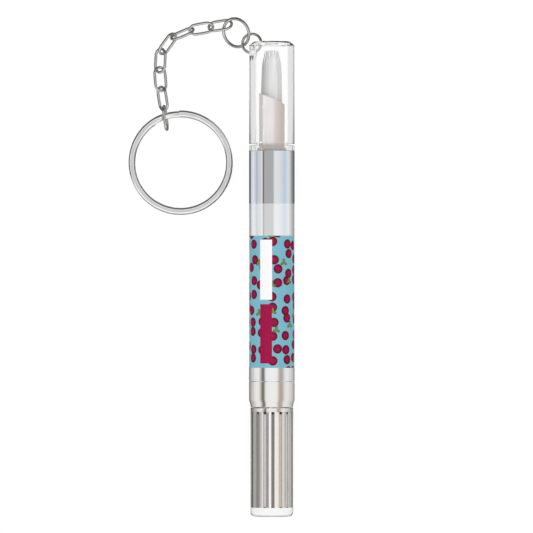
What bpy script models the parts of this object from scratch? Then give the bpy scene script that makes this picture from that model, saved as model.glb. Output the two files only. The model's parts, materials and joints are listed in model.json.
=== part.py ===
"""A cuticle oil pen on a short chain and a split key ring, lying on a table.

The pen lies along +Y: the middle of its knob's flat end is the origin, its cap
points to +Y, and +Z is up. The chain leaves the cap's corner towards -X and
lies on the table back to the split ring. Everything is in metres.

Turning the knob turns the screw rod, which climbs through the drive nut and
pushes the piston, and the oil runs through the feed tube to the bristles.
"""

import math
import random
from collections import namedtuple

import bmesh
import bpy
import numpy as np
from mathutils import Matrix, Vector

MM = 0.001

# Fits. A slip fit is the gap on the radius between pieces that slide or seat, a
# running fit that between pieces that turn, and a seam that between flat faces.
SLIP = 0.06 * MM
RUNNING = 0.1 * MM
SEAM = 0.1 * MM

# Pen body
PEN_RADIUS = 6.25 * MM
EDGE_ROUND = 0.25 * MM

# Knob
KNOB_LENGTH = 29.75 * MM
KNOB_RADIUS = 5.85 * MM
KNOB_CORNER = 1.1 * MM
KNOB_BASE = 2.4 * MM
KNOB_WALL = 0.95 * MM
KNOB_LINE = 0.15 * MM
FLUTES = 14
FLUTE_DEPTH = 0.4 * MM
FLUTE_LAND = 0.6
FLUTE_SLOPE = 0.1
SLEEVE_FLOOR = 2.0 * MM
SLEEVE_BAND = 1.35 * MM
NECK_RADIUS = 3.0 * MM
BEAD_HEIGHT = 0.45 * MM
BEAD_LENGTH = 1.0 * MM
PAWL_RADIUS = 2.75 * MM
PAWL_LENGTH = 1.6 * MM

# Tail collar
TAIL_LENGTH = 7.0 * MM
TAIL_BAND = 0.65 * MM
TAIL_TAPER = 1.25 * MM
TAIL_SPIGOT = 4.0 * MM
TAIL_SHOULDER = 0.9 * MM

# Ratchet ring
RATCHET_TEETH = 12
RATCHET_LENGTH = 1.3 * MM
RATCHET_TOOTH = 0.3 * MM
RATCHET_RAMP = 0.9

# Outer barrel and its label
BARREL_LENGTH = 63.3 * MM
BARREL_WALL = 1.1 * MM
LABEL_START = 3.7 * MM
LABEL_LENGTH = 44.85 * MM
LABEL_FILM = 0.08 * MM

# Screw drive
ROD_RADIUS = 1.65 * MM
ROD_FLAT = 1.3 * MM
ROD_TIP_RADIUS = 1.2 * MM
ROD_TIP_LENGTH = 1.8 * MM
ROD_STANDOUT = 1.0 * MM
NUT_LENGTH = 3.8 * MM
PISTON_LENGTH = 6.4 * MM
SEAL_WIRE = 0.33 * MM
SEAL_SQUEEZE = 0.05 * MM
SEAL_SIDES = 6

# Reservoir
RESERVOIR_WALL = 0.72 * MM
SHOULDER_LENGTH = 3.0 * MM
NECK_RING_LENGTH = 1.3 * MM
NECK_RING_ROUND = 0.45 * MM
SPIGOT_WALL = 0.22 * MM
SPIGOT_LENGTH = 0.9 * MM

# Nozzle
NOZZLE_RADIUS = 3.54 * MM
NOZZLE_WALL = 0.59 * MM
NOZZLE_LENGTH = 15.7 * MM
NOZZLE_SLANT = math.radians(25)
FLANGE_RADIUS = 4.08 * MM
FLANGE_LENGTH = 0.85 * MM
STEM_RADIUS = 3.2 * MM
STEM_LENGTH = 8.2 * MM
PLUG_START = 1.8 * MM
PLUG_LENGTH = 3.9 * MM
TUBE_RADIUS = 0.9 * MM
TUBE_BORE = 0.55 * MM
TUBE_OVERHANG = 2.0 * MM

# Bristles
BRISTLE_PITCH = 0.218 * MM
BRISTLE_REACH = 11.8 * MM
BRISTLE_BEND = 4.2 * MM
TUFT_THICKNESS = 3.0 * MM
TUFT_BACKING = 0.8 * MM
TUFT_CROWN = 1.3 * MM
TUFT_RAGGED = 0.55 * MM
TUFT_TIP_WIDTH = 0.77
STRAND_BEND_SIZE = 0.78
STRAND_TIP_SIZE = 0.5
TUFT_SEED = 7

# Cap
CAP_LINE = 0.2 * MM
CAP_END_WALL = 1.1 * MM
CAP_TIP_ROOM = 1.05 * MM
CAP_CHAMFER_WIDTH = 1.45 * MM
CAP_CHAMFER_HEIGHT = 1.1 * MM
CAP_BORE_ROUND = 0.5 * MM
RING_HOLE = 1.7 * MM

# Jump rings
SMALL_RING = 6.0 * MM
SMALL_WIRE = 0.75 * MM
SMALL_RING_IN = 0.68 * MM
SMALL_RING_DOWN = 0.5 * MM
LARGE_RING = 8.8 * MM
LARGE_WIRE = 0.85 * MM

# Chain links
LINK_LENGTH = 7.2 * MM
LINK_WIDTH = 3.8 * MM
LINK_WIRE = 0.8 * MM
CHAIN_GAP = 0.1 * MM
LOOSE_LINK_GRIP = 1.9 * MM
STEEPEST_FALL = math.radians(16)

# Split ring
SPLIT_RING = 28.5 * MM
SPLIT_BAND = 1.85 * MM
SPLIT_COIL = 0.84 * MM
SPLIT_GAP = 0.06 * MM
SPLIT_EASE = 0.25 * MM
SPLIT_HEADING = math.radians(288)
SPLIT_STEP = math.radians(159)
SPLIT_STEP_HALF = math.radians(15)
SPLIT_END_GAP = math.radians(1)
SPLIT_IN_LINK = 0.5 * MM

# Fineness of the shapes. A turned piece has a flat facet square to +Z and +X.
FACETS = 40
INNER_FACETS = 24
FILLET_STEPS = 3
ARC_STEPS = 8
HOLE_FACETS = 16
WIRE_ROUNDNESS = 2
LINE_PARTS = 12
GRIP_TRIES = 60
SPLIT_STEPS = 72
WELD = 1e-7
CREASE = math.radians(30)

# Heights along the pen
TAIL_START = KNOB_LENGTH + KNOB_LINE
TAIL_END = TAIL_START + TAIL_LENGTH
BARREL_START = TAIL_END + SEAM
BARREL_END = BARREL_START + BARREL_LENGTH
NECK_START = BARREL_END + SEAM
NECK_END = NECK_START + NECK_RING_LENGTH
CAP_START = NECK_END + CAP_LINE
NUT_START = TAIL_END + TAIL_SPIGOT + SEAM
NUT_END = NUT_START + NUT_LENGTH
RESERVOIR_START = NUT_END + SEAM
FLANGE_START = BARREL_END + SEAM / 2
FLUTE_START = KNOB_BASE + SEAM
FLUTE_END = KNOB_LENGTH - SLEEVE_BAND
ROD_START = FLUTE_START + SLEEVE_FLOOR + SEAM
ROD_END = RESERVOIR_START + ROD_STANDOUT
PISTON_START = ROD_END + SEAM
NOZZLE_CUT = FLANGE_START + NOZZLE_LENGTH
NOZZLE_MIDDLE = NOZZLE_CUT - NOZZLE_RADIUS * math.tan(NOZZLE_SLANT)
PLUG_AT = FLANGE_START + PLUG_START
TUFT_START = PLUG_AT + PLUG_LENGTH + SEAM
TUFT_END = NOZZLE_CUT + BRISTLE_REACH
CAP_END = TUFT_END + CAP_TIP_ROOM + CAP_END_WALL

# Radii that follow from a neighbour's
BARREL_BORE = PEN_RADIUS - BARREL_WALL
RESERVOIR_RADIUS = BARREL_BORE - SLIP
RESERVOIR_BORE = RESERVOIR_RADIUS - RESERVOIR_WALL
FLANGE_SEAT = FLANGE_RADIUS + SLIP
SPIGOT_RADIUS = FLANGE_SEAT + SPIGOT_WALL
CAP_BORE = SPIGOT_RADIUS + SLIP
STEM_BORE = STEM_RADIUS + SLIP
NOZZLE_BORE = NOZZLE_RADIUS - NOZZLE_WALL
TUBE_SEAT = TUBE_RADIUS + SLIP
LABEL_SEAT = PEN_RADIUS - LABEL_FILM - 2 * SLIP
KNOB_BORE = KNOB_RADIUS - KNOB_WALL
SLEEVE_RADIUS = KNOB_BORE - SLIP
COLLAR_BORE = NECK_RADIUS + RUNNING
BEAD_SEAT = NECK_RADIUS + BEAD_HEIGHT + RUNNING
ROD_SEAT = ROD_RADIUS + RUNNING

# The table touches the lowest facet of the pen, and the chain's axis lies half
# a link's width above the table.
TABLE = -PEN_RADIUS * math.cos(math.pi / FACETS)
CHAIN_HEIGHT = TABLE + LINK_WIDTH / 2 + CHAIN_GAP / 2

Finish = namedtuple("Finish", "name color metallic roughness alpha")
CLEAR = Finish("clear_plastic", (0.93, 0.94, 0.94), 0.0, 0.05, 0.35)
FROSTED = Finish("nozzle_plastic", (0.86, 0.80, 0.79), 0.0, 0.3, 0.85)
SILVER = Finish("silver_plating", (0.80, 0.80, 0.81), 1.0, 0.12, 1.0)
PRINT = Finish("label_print", (0.47, 0.70, 0.76), 0.0, 0.35, 1.0)
NYLON = Finish("bristle_nylon", (0.78, 0.78, 0.78), 0.0, 0.45, 1.0)
WORKS = Finish("white_plastic", (0.85, 0.85, 0.83), 0.0, 0.45, 1.0)
RUBBER = Finish("seal_rubber", (0.10, 0.10, 0.11), 0.0, 0.6, 1.0)
STEEL = Finish("nickel_steel", (0.66, 0.66, 0.64), 1.0, 0.2, 1.0)

# One closed wire loop of the chain: its heading on the table, and its roll
# about that heading, with its left side up where positive.
Loop = namedtuple("Loop", "name length width wire heading roll")
LARGE = Loop("large_jump_ring", LARGE_RING, LARGE_RING, LARGE_WIRE, 145, -30)
LINK_HEADINGS = (188, 190, 203, 234, 267, 275, 279, 277)
LINK_ROLLS = (35, -30, 60, -45, 30, -18, 45, -80)


def material(finish):
    """The Blender material of a finish, made the first time it is asked for."""
    made = bpy.data.materials.get(finish.name)
    if made:
        return made
    made = bpy.data.materials.new(finish.name)
    made.use_nodes = True
    shader = made.node_tree.nodes["Principled BSDF"]
    shader.inputs["Base Color"].default_value = (*finish.color, 1)
    shader.inputs["Metallic"].default_value = finish.metallic
    shader.inputs["Roughness"].default_value = finish.roughness
    shader.inputs["Alpha"].default_value = finish.alpha
    return made


def body(name, parent=None, place=None):
    """An empty that carries the pieces of one moving body. Its Y is its joint's axis."""
    holder = bpy.data.objects.new(name, None)
    holder.empty_display_size = 2 * MM
    bpy.context.collection.objects.link(holder)
    put(holder, parent, place or Matrix())
    return holder


def put(piece, parent, place):
    """Places a piece in world space, and hangs it from its parent without moving it.

    The parent's own basis is its place in world space too, because it was put here.
    """
    piece.matrix_basis = place
    if parent:
        piece.parent = parent
        piece.matrix_parent_inverse = parent.matrix_basis.inverted()


def solid(name, form, finish, holder):
    """Turns a bmesh into a named object that its body carries."""
    bmesh.ops.recalc_face_normals(form, faces=form.faces[:])
    mesh = bpy.data.meshes.new(name)
    form.to_mesh(mesh)
    form.free()
    mesh.shade_smooth()
    mesh.set_sharp_from_angle(angle=CREASE)
    mesh.materials.append(material(finish))
    piece = bpy.data.objects.new(name, mesh)
    bpy.context.collection.objects.link(piece)
    put(piece, holder, Matrix())
    return piece


def rounded(corners):
    """The points of an outline of (radius, height, fillet) corners, fillets as arcs."""
    outline = []
    for index, (radius, height, fillet) in enumerate(corners):
        corner = Vector((radius, height))
        if not fillet:
            outline.append(corner)
            continue
        back = (Vector(corners[index - 1][:2]) - corner).normalized()
        ahead = (Vector(corners[(index + 1) % len(corners)][:2]) - corner).normalized()
        half = back.angle(ahead) / 2
        middle = corner + (back + ahead).normalized() * fillet / math.sin(half)
        spoke = corner + back * fillet / math.tan(half) - middle
        turn = math.copysign(math.pi - 2 * half, -back.cross(ahead))
        for step in range(FILLET_STEPS + 1):
            swing = Matrix.Rotation(turn * step / FILLET_STEPS, 2)
            outline.append(middle + swing @ spoke)
    return outline


def turned(name, corners, finish, holder, facets=FACETS):
    """A solid of revolution about the pen's axis, from a closed outline.

    A stretch of the outline that runs along the axis sweeps nothing and is left out.
    """
    form = bmesh.new()
    outline = rounded(corners)
    first = Matrix.Rotation(math.pi / facets, 3, "Y")
    rim = [form.verts.new(first @ Vector((r, y, 0))) for r, y in outline]
    edges = [
        form.edges.new((rim[index - 1], rim[index]))
        for index in range(len(rim))
        if outline[index - 1][0] > 0 or outline[index][0] > 0
    ]
    bmesh.ops.spin(
        form, geom=rim + edges, axis=(0, 1, 0), cent=(0, 0, 0),
        angle=2 * math.pi, steps=facets, use_merge=True,
    )
    bmesh.ops.remove_doubles(form, verts=form.verts[:], dist=WELD)
    return solid(name, form, finish, holder)


def prism(name, outline, start, end, finish, holder):
    """A solid with one (x, z) outline all along the pen from start to end."""
    form = bmesh.new()
    base = form.faces.new([form.verts.new((x, start, z)) for x, z in outline])
    raised = bmesh.ops.extrude_face_region(form, geom=[base], use_keep_orig=True)
    tops = [item for item in raised["geom"] if isinstance(item, bmesh.types.BMVert)]
    bmesh.ops.translate(form, verts=tops, vec=(0, end - start, 0))
    return solid(name, form, finish, holder)


def toothed(count, tooth):
    """A closed outline of equal teeth, each from its (share of pitch, radius) points."""
    points = []
    for index in range(count):
        for share, radius in tooth:
            angle = 2 * math.pi * (index + share) / count
            points.append((radius * math.cos(angle), radius * math.sin(angle)))
    return points


def flatted(radius, flat):
    """A round outline with two flats, at +Z and -Z."""
    points = []
    for index in range(INNER_FACETS):
        angle = 2 * math.pi * (index + 0.5) / INNER_FACETS
        across = radius * math.sin(angle)
        points.append((radius * math.cos(angle), max(-flat, min(flat, across))))
    return points


def combine(piece, operation, tool):
    """Cuts a tool from a piece, or joins it on, and keeps the tool out of the model."""
    tool.hide_render = True
    tool.display_type = "WIRE"
    change = piece.modifiers.new(tool.name, "BOOLEAN")
    change.operation = operation
    change.object = tool


def hole(name, place, direction, diameter, depth):
    """A round cutter whose middle is at a place, along a direction."""
    form = bmesh.new()
    bmesh.ops.create_cone(
        form, cap_ends=True, segments=HOLE_FACETS, radius1=diameter / 2,
        radius2=diameter / 2, depth=depth,
    )
    cutter = solid(name, form, WORKS, None)
    turn = Vector(direction).to_track_quat("Z", "Y").to_matrix().to_4x4()
    cutter.matrix_basis = Matrix.Translation(place) @ turn
    return cutter


def knob(pen):
    """The knob: a clear shell over a fluted plated core, whose neck turns in the collar."""
    holder = body("knob", pen)
    turned("knob_shell", [
        (0, 0, 0),
        (KNOB_RADIUS, 0, KNOB_CORNER),
        (KNOB_RADIUS, KNOB_LENGTH, EDGE_ROUND),
        (KNOB_BORE, KNOB_LENGTH, 0),
        (KNOB_BORE, KNOB_BASE, 0),
        (0, KNOB_BASE, 0),
    ], CLEAR, holder)
    root = SLEEVE_RADIUS - FLUTE_DEPTH
    ribs = toothed(FLUTES, [
        (0, SLEEVE_RADIUS), (FLUTE_LAND, SLEEVE_RADIUS),
        (FLUTE_LAND + FLUTE_SLOPE, root), (1 - FLUTE_SLOPE, root),
    ])
    core = prism("drive_sleeve", ribs, FLUTE_START, FLUTE_END, SILVER, holder)
    middle = (FLUTE_START + FLUTE_END) / 2
    bead_start = TAIL_END + TAIL_SHOULDER + SEAM
    neck = turned("sleeve_neck", [
        (0, middle, 0),
        (NECK_RADIUS, middle, 0),
        (NECK_RADIUS, FLUTE_END, 0),
        (SLEEVE_RADIUS, FLUTE_END, 0),
        (SLEEVE_RADIUS, KNOB_LENGTH, EDGE_ROUND),
        (NECK_RADIUS, KNOB_LENGTH, 0),
        (NECK_RADIUS, bead_start, 0),
        (NECK_RADIUS + BEAD_HEIGHT, bead_start, 0),
        (NECK_RADIUS, bead_start + BEAD_LENGTH, 0),
        (PAWL_RADIUS, bead_start + BEAD_LENGTH, 0),
        (PAWL_RADIUS, bead_start + BEAD_LENGTH + PAWL_LENGTH, 0),
        (0, bead_start + BEAD_LENGTH + PAWL_LENGTH, 0),
    ], SILVER, None, INNER_FACETS)
    combine(core, "UNION", neck)
    bore = prism(
        "sleeve_bore", flatted(ROD_SEAT, ROD_FLAT + RUNNING), FLUTE_START + SLEEVE_FLOOR,
        bead_start + BEAD_LENGTH + PAWL_LENGTH + SEAM, WORKS, None,
    )
    combine(core, "DIFFERENCE", bore)
    return holder


def screw_rod(turning):
    """The screw rod, keyed to the drive sleeve by its two flats."""
    holder = body("screw", turning)
    rod = prism("screw_rod", flatted(ROD_RADIUS, ROD_FLAT), ROD_START, ROD_END, WORKS, holder)
    tip = turned("rod_tip", [
        (0, ROD_END - SEAM, 0),
        (ROD_TIP_RADIUS, ROD_END - SEAM, 0),
        (ROD_TIP_RADIUS, ROD_END + ROD_TIP_LENGTH, 0),
        (0, ROD_END + ROD_TIP_LENGTH, 0),
    ], WORKS, None, INNER_FACETS)
    combine(rod, "UNION", tip)


def piston(pen):
    """The piston, which the rod's tip turns in, and its seal."""
    holder = body("piston", pen)
    radius = RESERVOIR_BORE - SLIP
    middle = PISTON_START + PISTON_LENGTH / 2
    groove = radius - 2 * SEAL_WIRE - SLIP + SEAL_SQUEEZE
    half = SEAL_WIRE + SEAM / 2
    turned("piston_head", [
        (0, PISTON_START + ROD_TIP_LENGTH + SEAM, 0),
        (ROD_TIP_RADIUS + SLIP, PISTON_START + ROD_TIP_LENGTH + SEAM, 0),
        (ROD_TIP_RADIUS + SLIP, PISTON_START, 0),
        (radius, PISTON_START, 0),
        (radius, middle - half, 0),
        (groove - SEAL_SQUEEZE, middle - half, 0),
        (groove - SEAL_SQUEEZE, middle + half, 0),
        (radius, middle + half, 0),
        (radius, PISTON_START + PISTON_LENGTH, 0),
        (0, PISTON_START + PISTON_LENGTH, 0),
    ], WORKS, holder, INNER_FACETS)
    centre = groove + SEAL_WIRE
    spokes = [2 * math.pi * (side + 0.5) / SEAL_SIDES for side in range(SEAL_SIDES)]
    turned("piston_seal", [
        (centre + SEAL_WIRE * math.cos(angle), middle + SEAL_WIRE * math.sin(angle), 0)
        for angle in spokes
    ], RUBBER, holder, INNER_FACETS)


def tail(pen):
    """The tail collar with its taper, the ratchet ring in it, and the drive nut above."""
    spigot = BARREL_BORE - SLIP
    turned("tail_collar", [
        (COLLAR_BORE, TAIL_START, 0),
        (KNOB_RADIUS, TAIL_START, 0),
        (KNOB_RADIUS, TAIL_START + TAIL_BAND, 0),
        (PEN_RADIUS, TAIL_START + TAIL_BAND + TAIL_TAPER, 0),
        (PEN_RADIUS, TAIL_END, 0),
        (spigot, TAIL_END, 0),
        (spigot, TAIL_END + TAIL_SPIGOT, 0),
        (BEAD_SEAT, TAIL_END + TAIL_SPIGOT, 0),
        (BEAD_SEAT, TAIL_END + TAIL_SHOULDER, 0),
        (COLLAR_BORE, TAIL_END + TAIL_SHOULDER, 0),
    ], SILVER, pen)
    start = TAIL_END + TAIL_SHOULDER + 2 * SEAM + BEAD_LENGTH
    end = start + RATCHET_LENGTH
    ring = turned("ratchet_ring", [
        (0, start, 0),
        (BEAD_SEAT - SLIP, start, 0),
        (BEAD_SEAT - SLIP, end, 0),
        (0, end, 0),
    ], WORKS, pen, INNER_FACETS)
    crest = PAWL_RADIUS + RUNNING
    teeth = toothed(RATCHET_TEETH, [(0, crest), (RATCHET_RAMP, crest + RATCHET_TOOTH)])
    cutter = prism("ratchet_teeth", teeth, start - SEAM, end + SEAM, WORKS, None)
    combine(ring, "DIFFERENCE", cutter)
    turned("drive_nut", [
        (ROD_SEAT, NUT_START, 0),
        (spigot, NUT_START, 0),
        (spigot, NUT_END, 0),
        (ROD_SEAT, NUT_END, 0),
    ], WORKS, pen, INNER_FACETS)


def barrel(pen):
    """The plated outer barrel, with the shallow step that its label lies in."""
    label_start = BARREL_START + LABEL_START
    label_end = label_start + LABEL_LENGTH
    turned("outer_barrel", [
        (BARREL_BORE, BARREL_START, 0),
        (PEN_RADIUS, BARREL_START, 0),
        (PEN_RADIUS, label_start - SEAM, 0),
        (LABEL_SEAT, label_start - SEAM, 0),
        (LABEL_SEAT, label_end + SEAM, 0),
        (PEN_RADIUS, label_end + SEAM, 0),
        (PEN_RADIUS, BARREL_END, EDGE_ROUND),
        (BARREL_BORE, BARREL_END, 0),
    ], SILVER, pen)
    inside = LABEL_SEAT + SLIP
    turned("label", [
        (inside, label_start, 0),
        (inside + LABEL_FILM, label_start, 0),
        (inside + LABEL_FILM, label_end, 0),
        (inside, label_end, 0),
    ], PRINT, pen)


def reservoir(pen):
    """The clear reservoir tube, its neck ring and the spigot that the cap plugs onto."""
    shoulder = BARREL_END - SHOULDER_LENGTH
    turned("reservoir", [
        (RESERVOIR_BORE, RESERVOIR_START, 0),
        (RESERVOIR_RADIUS, RESERVOIR_START, 0),
        (RESERVOIR_RADIUS, NECK_START, 0),
        (PEN_RADIUS, NECK_START, NECK_RING_ROUND),
        (PEN_RADIUS, NECK_END, NECK_RING_ROUND),
        (SPIGOT_RADIUS, NECK_END, 0),
        (SPIGOT_RADIUS, NECK_END + SPIGOT_LENGTH, 0),
        (FLANGE_SEAT, NECK_END + SPIGOT_LENGTH, 0),
        (FLANGE_SEAT, BARREL_END, 0),
        (STEM_BORE, BARREL_END, 0),
        (STEM_BORE, shoulder, 0),
        (RESERVOIR_BORE, shoulder, 0),
    ], CLEAR, pen)


def nozzle(pen):
    """The nozzle with its slanted mouth, and the plug and feed tube inside it."""
    stem_end = FLANGE_START - STEM_LENGTH
    sleeve = turned("nozzle", [
        (TUBE_SEAT, stem_end, 0),
        (STEM_RADIUS, stem_end, 0),
        (STEM_RADIUS, FLANGE_START, 0),
        (FLANGE_RADIUS, FLANGE_START, 0),
        (FLANGE_RADIUS, FLANGE_START + FLANGE_LENGTH, EDGE_ROUND),
        (NOZZLE_RADIUS, FLANGE_START + FLANGE_LENGTH, 0),
        (NOZZLE_RADIUS, NOZZLE_CUT, 0),
        (NOZZLE_BORE, NOZZLE_CUT, 0),
        (NOZZLE_BORE, PLUG_AT - SEAM, 0),
        (TUBE_SEAT, PLUG_AT - SEAM, 0),
    ], FROSTED, pen)
    block = 4 * FLANGE_RADIUS
    form = bmesh.new()
    bmesh.ops.create_cube(form, size=block)
    cutter = solid("nozzle_slant", form, WORKS, None)
    cutter.matrix_basis = (
        Matrix.Translation((0, NOZZLE_MIDDLE, 0))
        @ Matrix.Rotation(-NOZZLE_SLANT, 4, "Z")
        @ Matrix.Translation((0, block / 2, 0))
    )
    combine(sleeve, "DIFFERENCE", cutter)
    turned("brush_plug", [
        (TUBE_SEAT, PLUG_AT, 0),
        (NOZZLE_BORE - SLIP, PLUG_AT, 0),
        (NOZZLE_BORE - SLIP, PLUG_AT + PLUG_LENGTH, 0),
        (TUBE_SEAT, PLUG_AT + PLUG_LENGTH, 0),
    ], WORKS, pen, INNER_FACETS)
    turned("feed_tube", [
        (TUBE_BORE, stem_end - TUBE_OVERHANG, 0),
        (TUBE_RADIUS, stem_end - TUBE_OVERHANG, 0),
        (TUBE_RADIUS, PLUG_AT + PLUG_LENGTH, 0),
        (TUBE_BORE, PLUG_AT + PLUG_LENGTH, 0),
    ], WORKS, pen, INNER_FACETS)


def lattice(half_width, half_depth):
    """The corner cells of a triangle lattice that lie inside an ellipse.

    Gives (upward, cell) pairs, where a cell is three (column, row) lattice points.
    """
    rows = math.ceil(2 * half_depth / BRISTLE_PITCH) + 1
    columns = 2 * math.ceil(2 * half_width / BRISTLE_PITCH)
    cells = []
    for row in range(-rows, rows):
        for column in range(-columns, columns):
            up = ((column, row), (column + 1, row), (column, row + 1))
            down = ((column + 1, row), (column + 1, row + 1), (column, row + 1))
            for upward, cell in ((True, up), (False, down)):
                x = sum(c + r / 2 for c, r in cell) / 3 * BRISTLE_PITCH
                z = sum(r for _, r in cell) / 3 * BRISTLE_PITCH * math.sqrt(0.75)
                if (x / half_width) ** 2 + (z / half_depth) ** 2 < 1:
                    cells.append((upward, cell))
    return cells


def bristles(pen):
    """The flat tuft: tapering three-sided strands on a slice of their backing.

    Every upward cell of a triangle lattice is drawn out into one strand, and the
    downward cells between them stay as the gaps.
    """
    seeded = random.Random(TUFT_SEED)
    half_width = NOZZLE_BORE - 2 * SLIP - BRISTLE_PITCH / 2
    root = TUFT_START + TUFT_BACKING
    form = bmesh.new()
    corners = {}
    strands = []
    for upward, cell in lattice(half_width, TUFT_THICKNESS / 2):
        for column, row in cell:
            if (column, row) not in corners:
                x = (column + row / 2) * BRISTLE_PITCH
                z = row * BRISTLE_PITCH * math.sqrt(0.75)
                corners[column, row] = form.verts.new((x, root, z))
        face = form.faces.new([corners[point] for point in cell])
        if upward:
            strands.append(face)
    backing = bmesh.ops.extrude_face_region(form, geom=form.faces[:], use_keep_orig=True)["geom"]
    low = [item for item in backing if isinstance(item, bmesh.types.BMVert)]
    bmesh.ops.translate(form, verts=low, vec=(0, -TUFT_BACKING, 0))
    under = [face for face in form.faces if all(vert in low for vert in face.verts)]
    bmesh.ops.dissolve_faces(form, faces=under)
    for height, width, size, crown, ragged in (
        (TUFT_END - BRISTLE_BEND, 1.0, STRAND_BEND_SIZE, 0.0, 0.0),
        (TUFT_END, TUFT_TIP_WIDTH, STRAND_TIP_SIZE / STRAND_BEND_SIZE, TUFT_CROWN, TUFT_RAGGED),
    ):
        strands = bmesh.ops.extrude_discrete_faces(form, faces=strands)["faces"]
        for face in strands:
            middle = face.calc_center_median()
            drop = crown * (middle.x / half_width) ** 2 + ragged * seeded.random()
            for vert in face.verts:
                offset = (vert.co - middle) * size
                vert.co = (middle.x * width + offset.x, height - drop, middle.z * width + offset.z)
    solid("bristles", form, NYLON, pen)


def ring_holes():
    """Where the small jump ring passes the cap's side wall and its end wall."""
    radius = (SMALL_RING - SMALL_WIRE) / 2
    middle = Vector((SMALL_RING_IN - PEN_RADIUS, CAP_END - SMALL_RING_DOWN, 0))
    side_x = -(PEN_RADIUS + CAP_BORE) / 2
    side_y = middle.y - math.sqrt(radius**2 - (side_x - middle.x) ** 2)
    end_y = CAP_END - CAP_END_WALL / 2
    end_x = middle.x + math.sqrt(radius**2 - (end_y - middle.y) ** 2)
    return Vector((side_x, side_y, 0)), Vector((end_x, end_y, 0))


def cap(pen):
    """The clear cap, and the two holes that the small jump ring passes through."""
    holder = body("cap_body", pen)
    shell = turned("cap", [
        (PEN_RADIUS, CAP_START, EDGE_ROUND),
        (PEN_RADIUS, CAP_END - CAP_CHAMFER_HEIGHT, 0),
        (PEN_RADIUS - CAP_CHAMFER_WIDTH, CAP_END, 0),
        (0, CAP_END, 0),
        (0, CAP_END - CAP_END_WALL, 0),
        (CAP_BORE, CAP_END - CAP_END_WALL, CAP_BORE_ROUND),
        (CAP_BORE, CAP_START, 0),
    ], CLEAR, holder)
    side, end = ring_holes()
    side_wall = PEN_RADIUS - CAP_BORE
    combine(shell, "DIFFERENCE", hole("side_hole", side, (1, 0, 0), RING_HOLE, 2 * side_wall))
    combine(shell, "DIFFERENCE", hole("end_hole", end, (0, 1, 0), RING_HOLE, 2 * CAP_END_WALL))
    return holder


def loop_line(length, width, wire, grip):
    """The centreline of a wire loop in its own plane.

    It runs along X, and its near end reaches back past the origin by its grip.
    """
    bend = (width - wire) / 2
    leg = (length - width) / 2
    middle = (length - wire) / 2 - grip
    count = ARC_STEPS + 1 if leg else ARC_STEPS
    angles = [math.pi * (step / ARC_STEPS - 0.5) for step in range(count)]
    far = [(middle + leg + bend * math.cos(a), bend * math.sin(a), 0) for a in angles]
    near = [(middle - leg - bend * math.cos(a), -bend * math.sin(a), 0) for a in angles]
    return far + near


def sampled(line, place):
    """Close points all along a loop's centreline, in world space."""
    ends = np.array([place @ Vector(point) for point in line])
    shares = np.arange(LINE_PARTS)[:, None, None] / LINE_PARTS
    return (ends + shares * (np.roll(ends, -1, axis=0) - ends)).reshape(-1, 3)


def wire_loop(name, line, wire, holder, place):
    """A closed loop of round wire."""
    curve = bpy.data.curves.new(name, "CURVE")
    curve.dimensions = "3D"
    curve.bevel_depth = wire / 2
    curve.bevel_resolution = WIRE_ROUNDNESS
    spline = curve.splines.new("POLY")
    spline.points.add(len(line) - 1)
    for point, spot in zip(spline.points, line):
        point.co = (*spot, 1)
    spline.use_cyclic_u = True
    curve.materials.append(material(STEEL))
    piece = bpy.data.objects.new(name, curve)
    bpy.context.collection.objects.link(piece)
    put(piece, holder, place)


def placement(origin, heading, fall, roll):
    """A place with +X along the chain and falling, and +Y across it, raised by the roll."""
    turn = Matrix.Rotation(heading, 4, "Z") @ Matrix.Rotation(fall, 4, "Y")
    return Matrix.Translation(origin) @ turn @ Matrix.Rotation(roll, 4, "X")


def seated_grip(above, loop, place, needed):
    """The shortest grip at which a loop's wire clears the one that it hangs in."""
    own = sampled(loop_line(loop.length, loop.width, loop.wire, 0), place)
    along = np.array(place.to_3x3().col[0])
    grips = np.linspace(needed, 2 * needed, GRIP_TRIES)
    gaps = [np.linalg.norm(above[:, None] - (own - grip * along)[None], axis=2).min() for grip in grips]
    return next((grip for grip, gap in zip(grips, gaps) if gap >= needed), grips[np.argmax(gaps)])


def small_jump_ring(holder):
    """The small jump ring through the cap's corner.

    It swings about the line through its two holes. Gives its body, its place, its
    centreline and the place on it that the large ring hangs from.
    """
    side, end = ring_holes()
    chord = end - side
    radius = (SMALL_RING - SMALL_WIRE) / 2
    reach = math.sqrt(radius**2 - (chord.length / 2) ** 2)
    heading = math.atan2(chord.y, chord.x) + math.pi / 2
    place = placement((side + end) / 2, heading, STEEPEST_FALL, 0)
    line = loop_line(SMALL_RING, SMALL_RING, SMALL_WIRE, radius - reach)
    swing = body("small_jump_ring_body", holder, place)
    wire_loop("small_jump_ring", line, SMALL_WIRE, swing, place)
    turn = Matrix.Rotation(math.radians(LARGE.heading) - heading, 4, "Z")
    hang = Matrix.Translation((reach, 0, 0)) @ turn @ Matrix.Translation((radius, 0, 0))
    return swing, place, line, place @ hang


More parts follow.
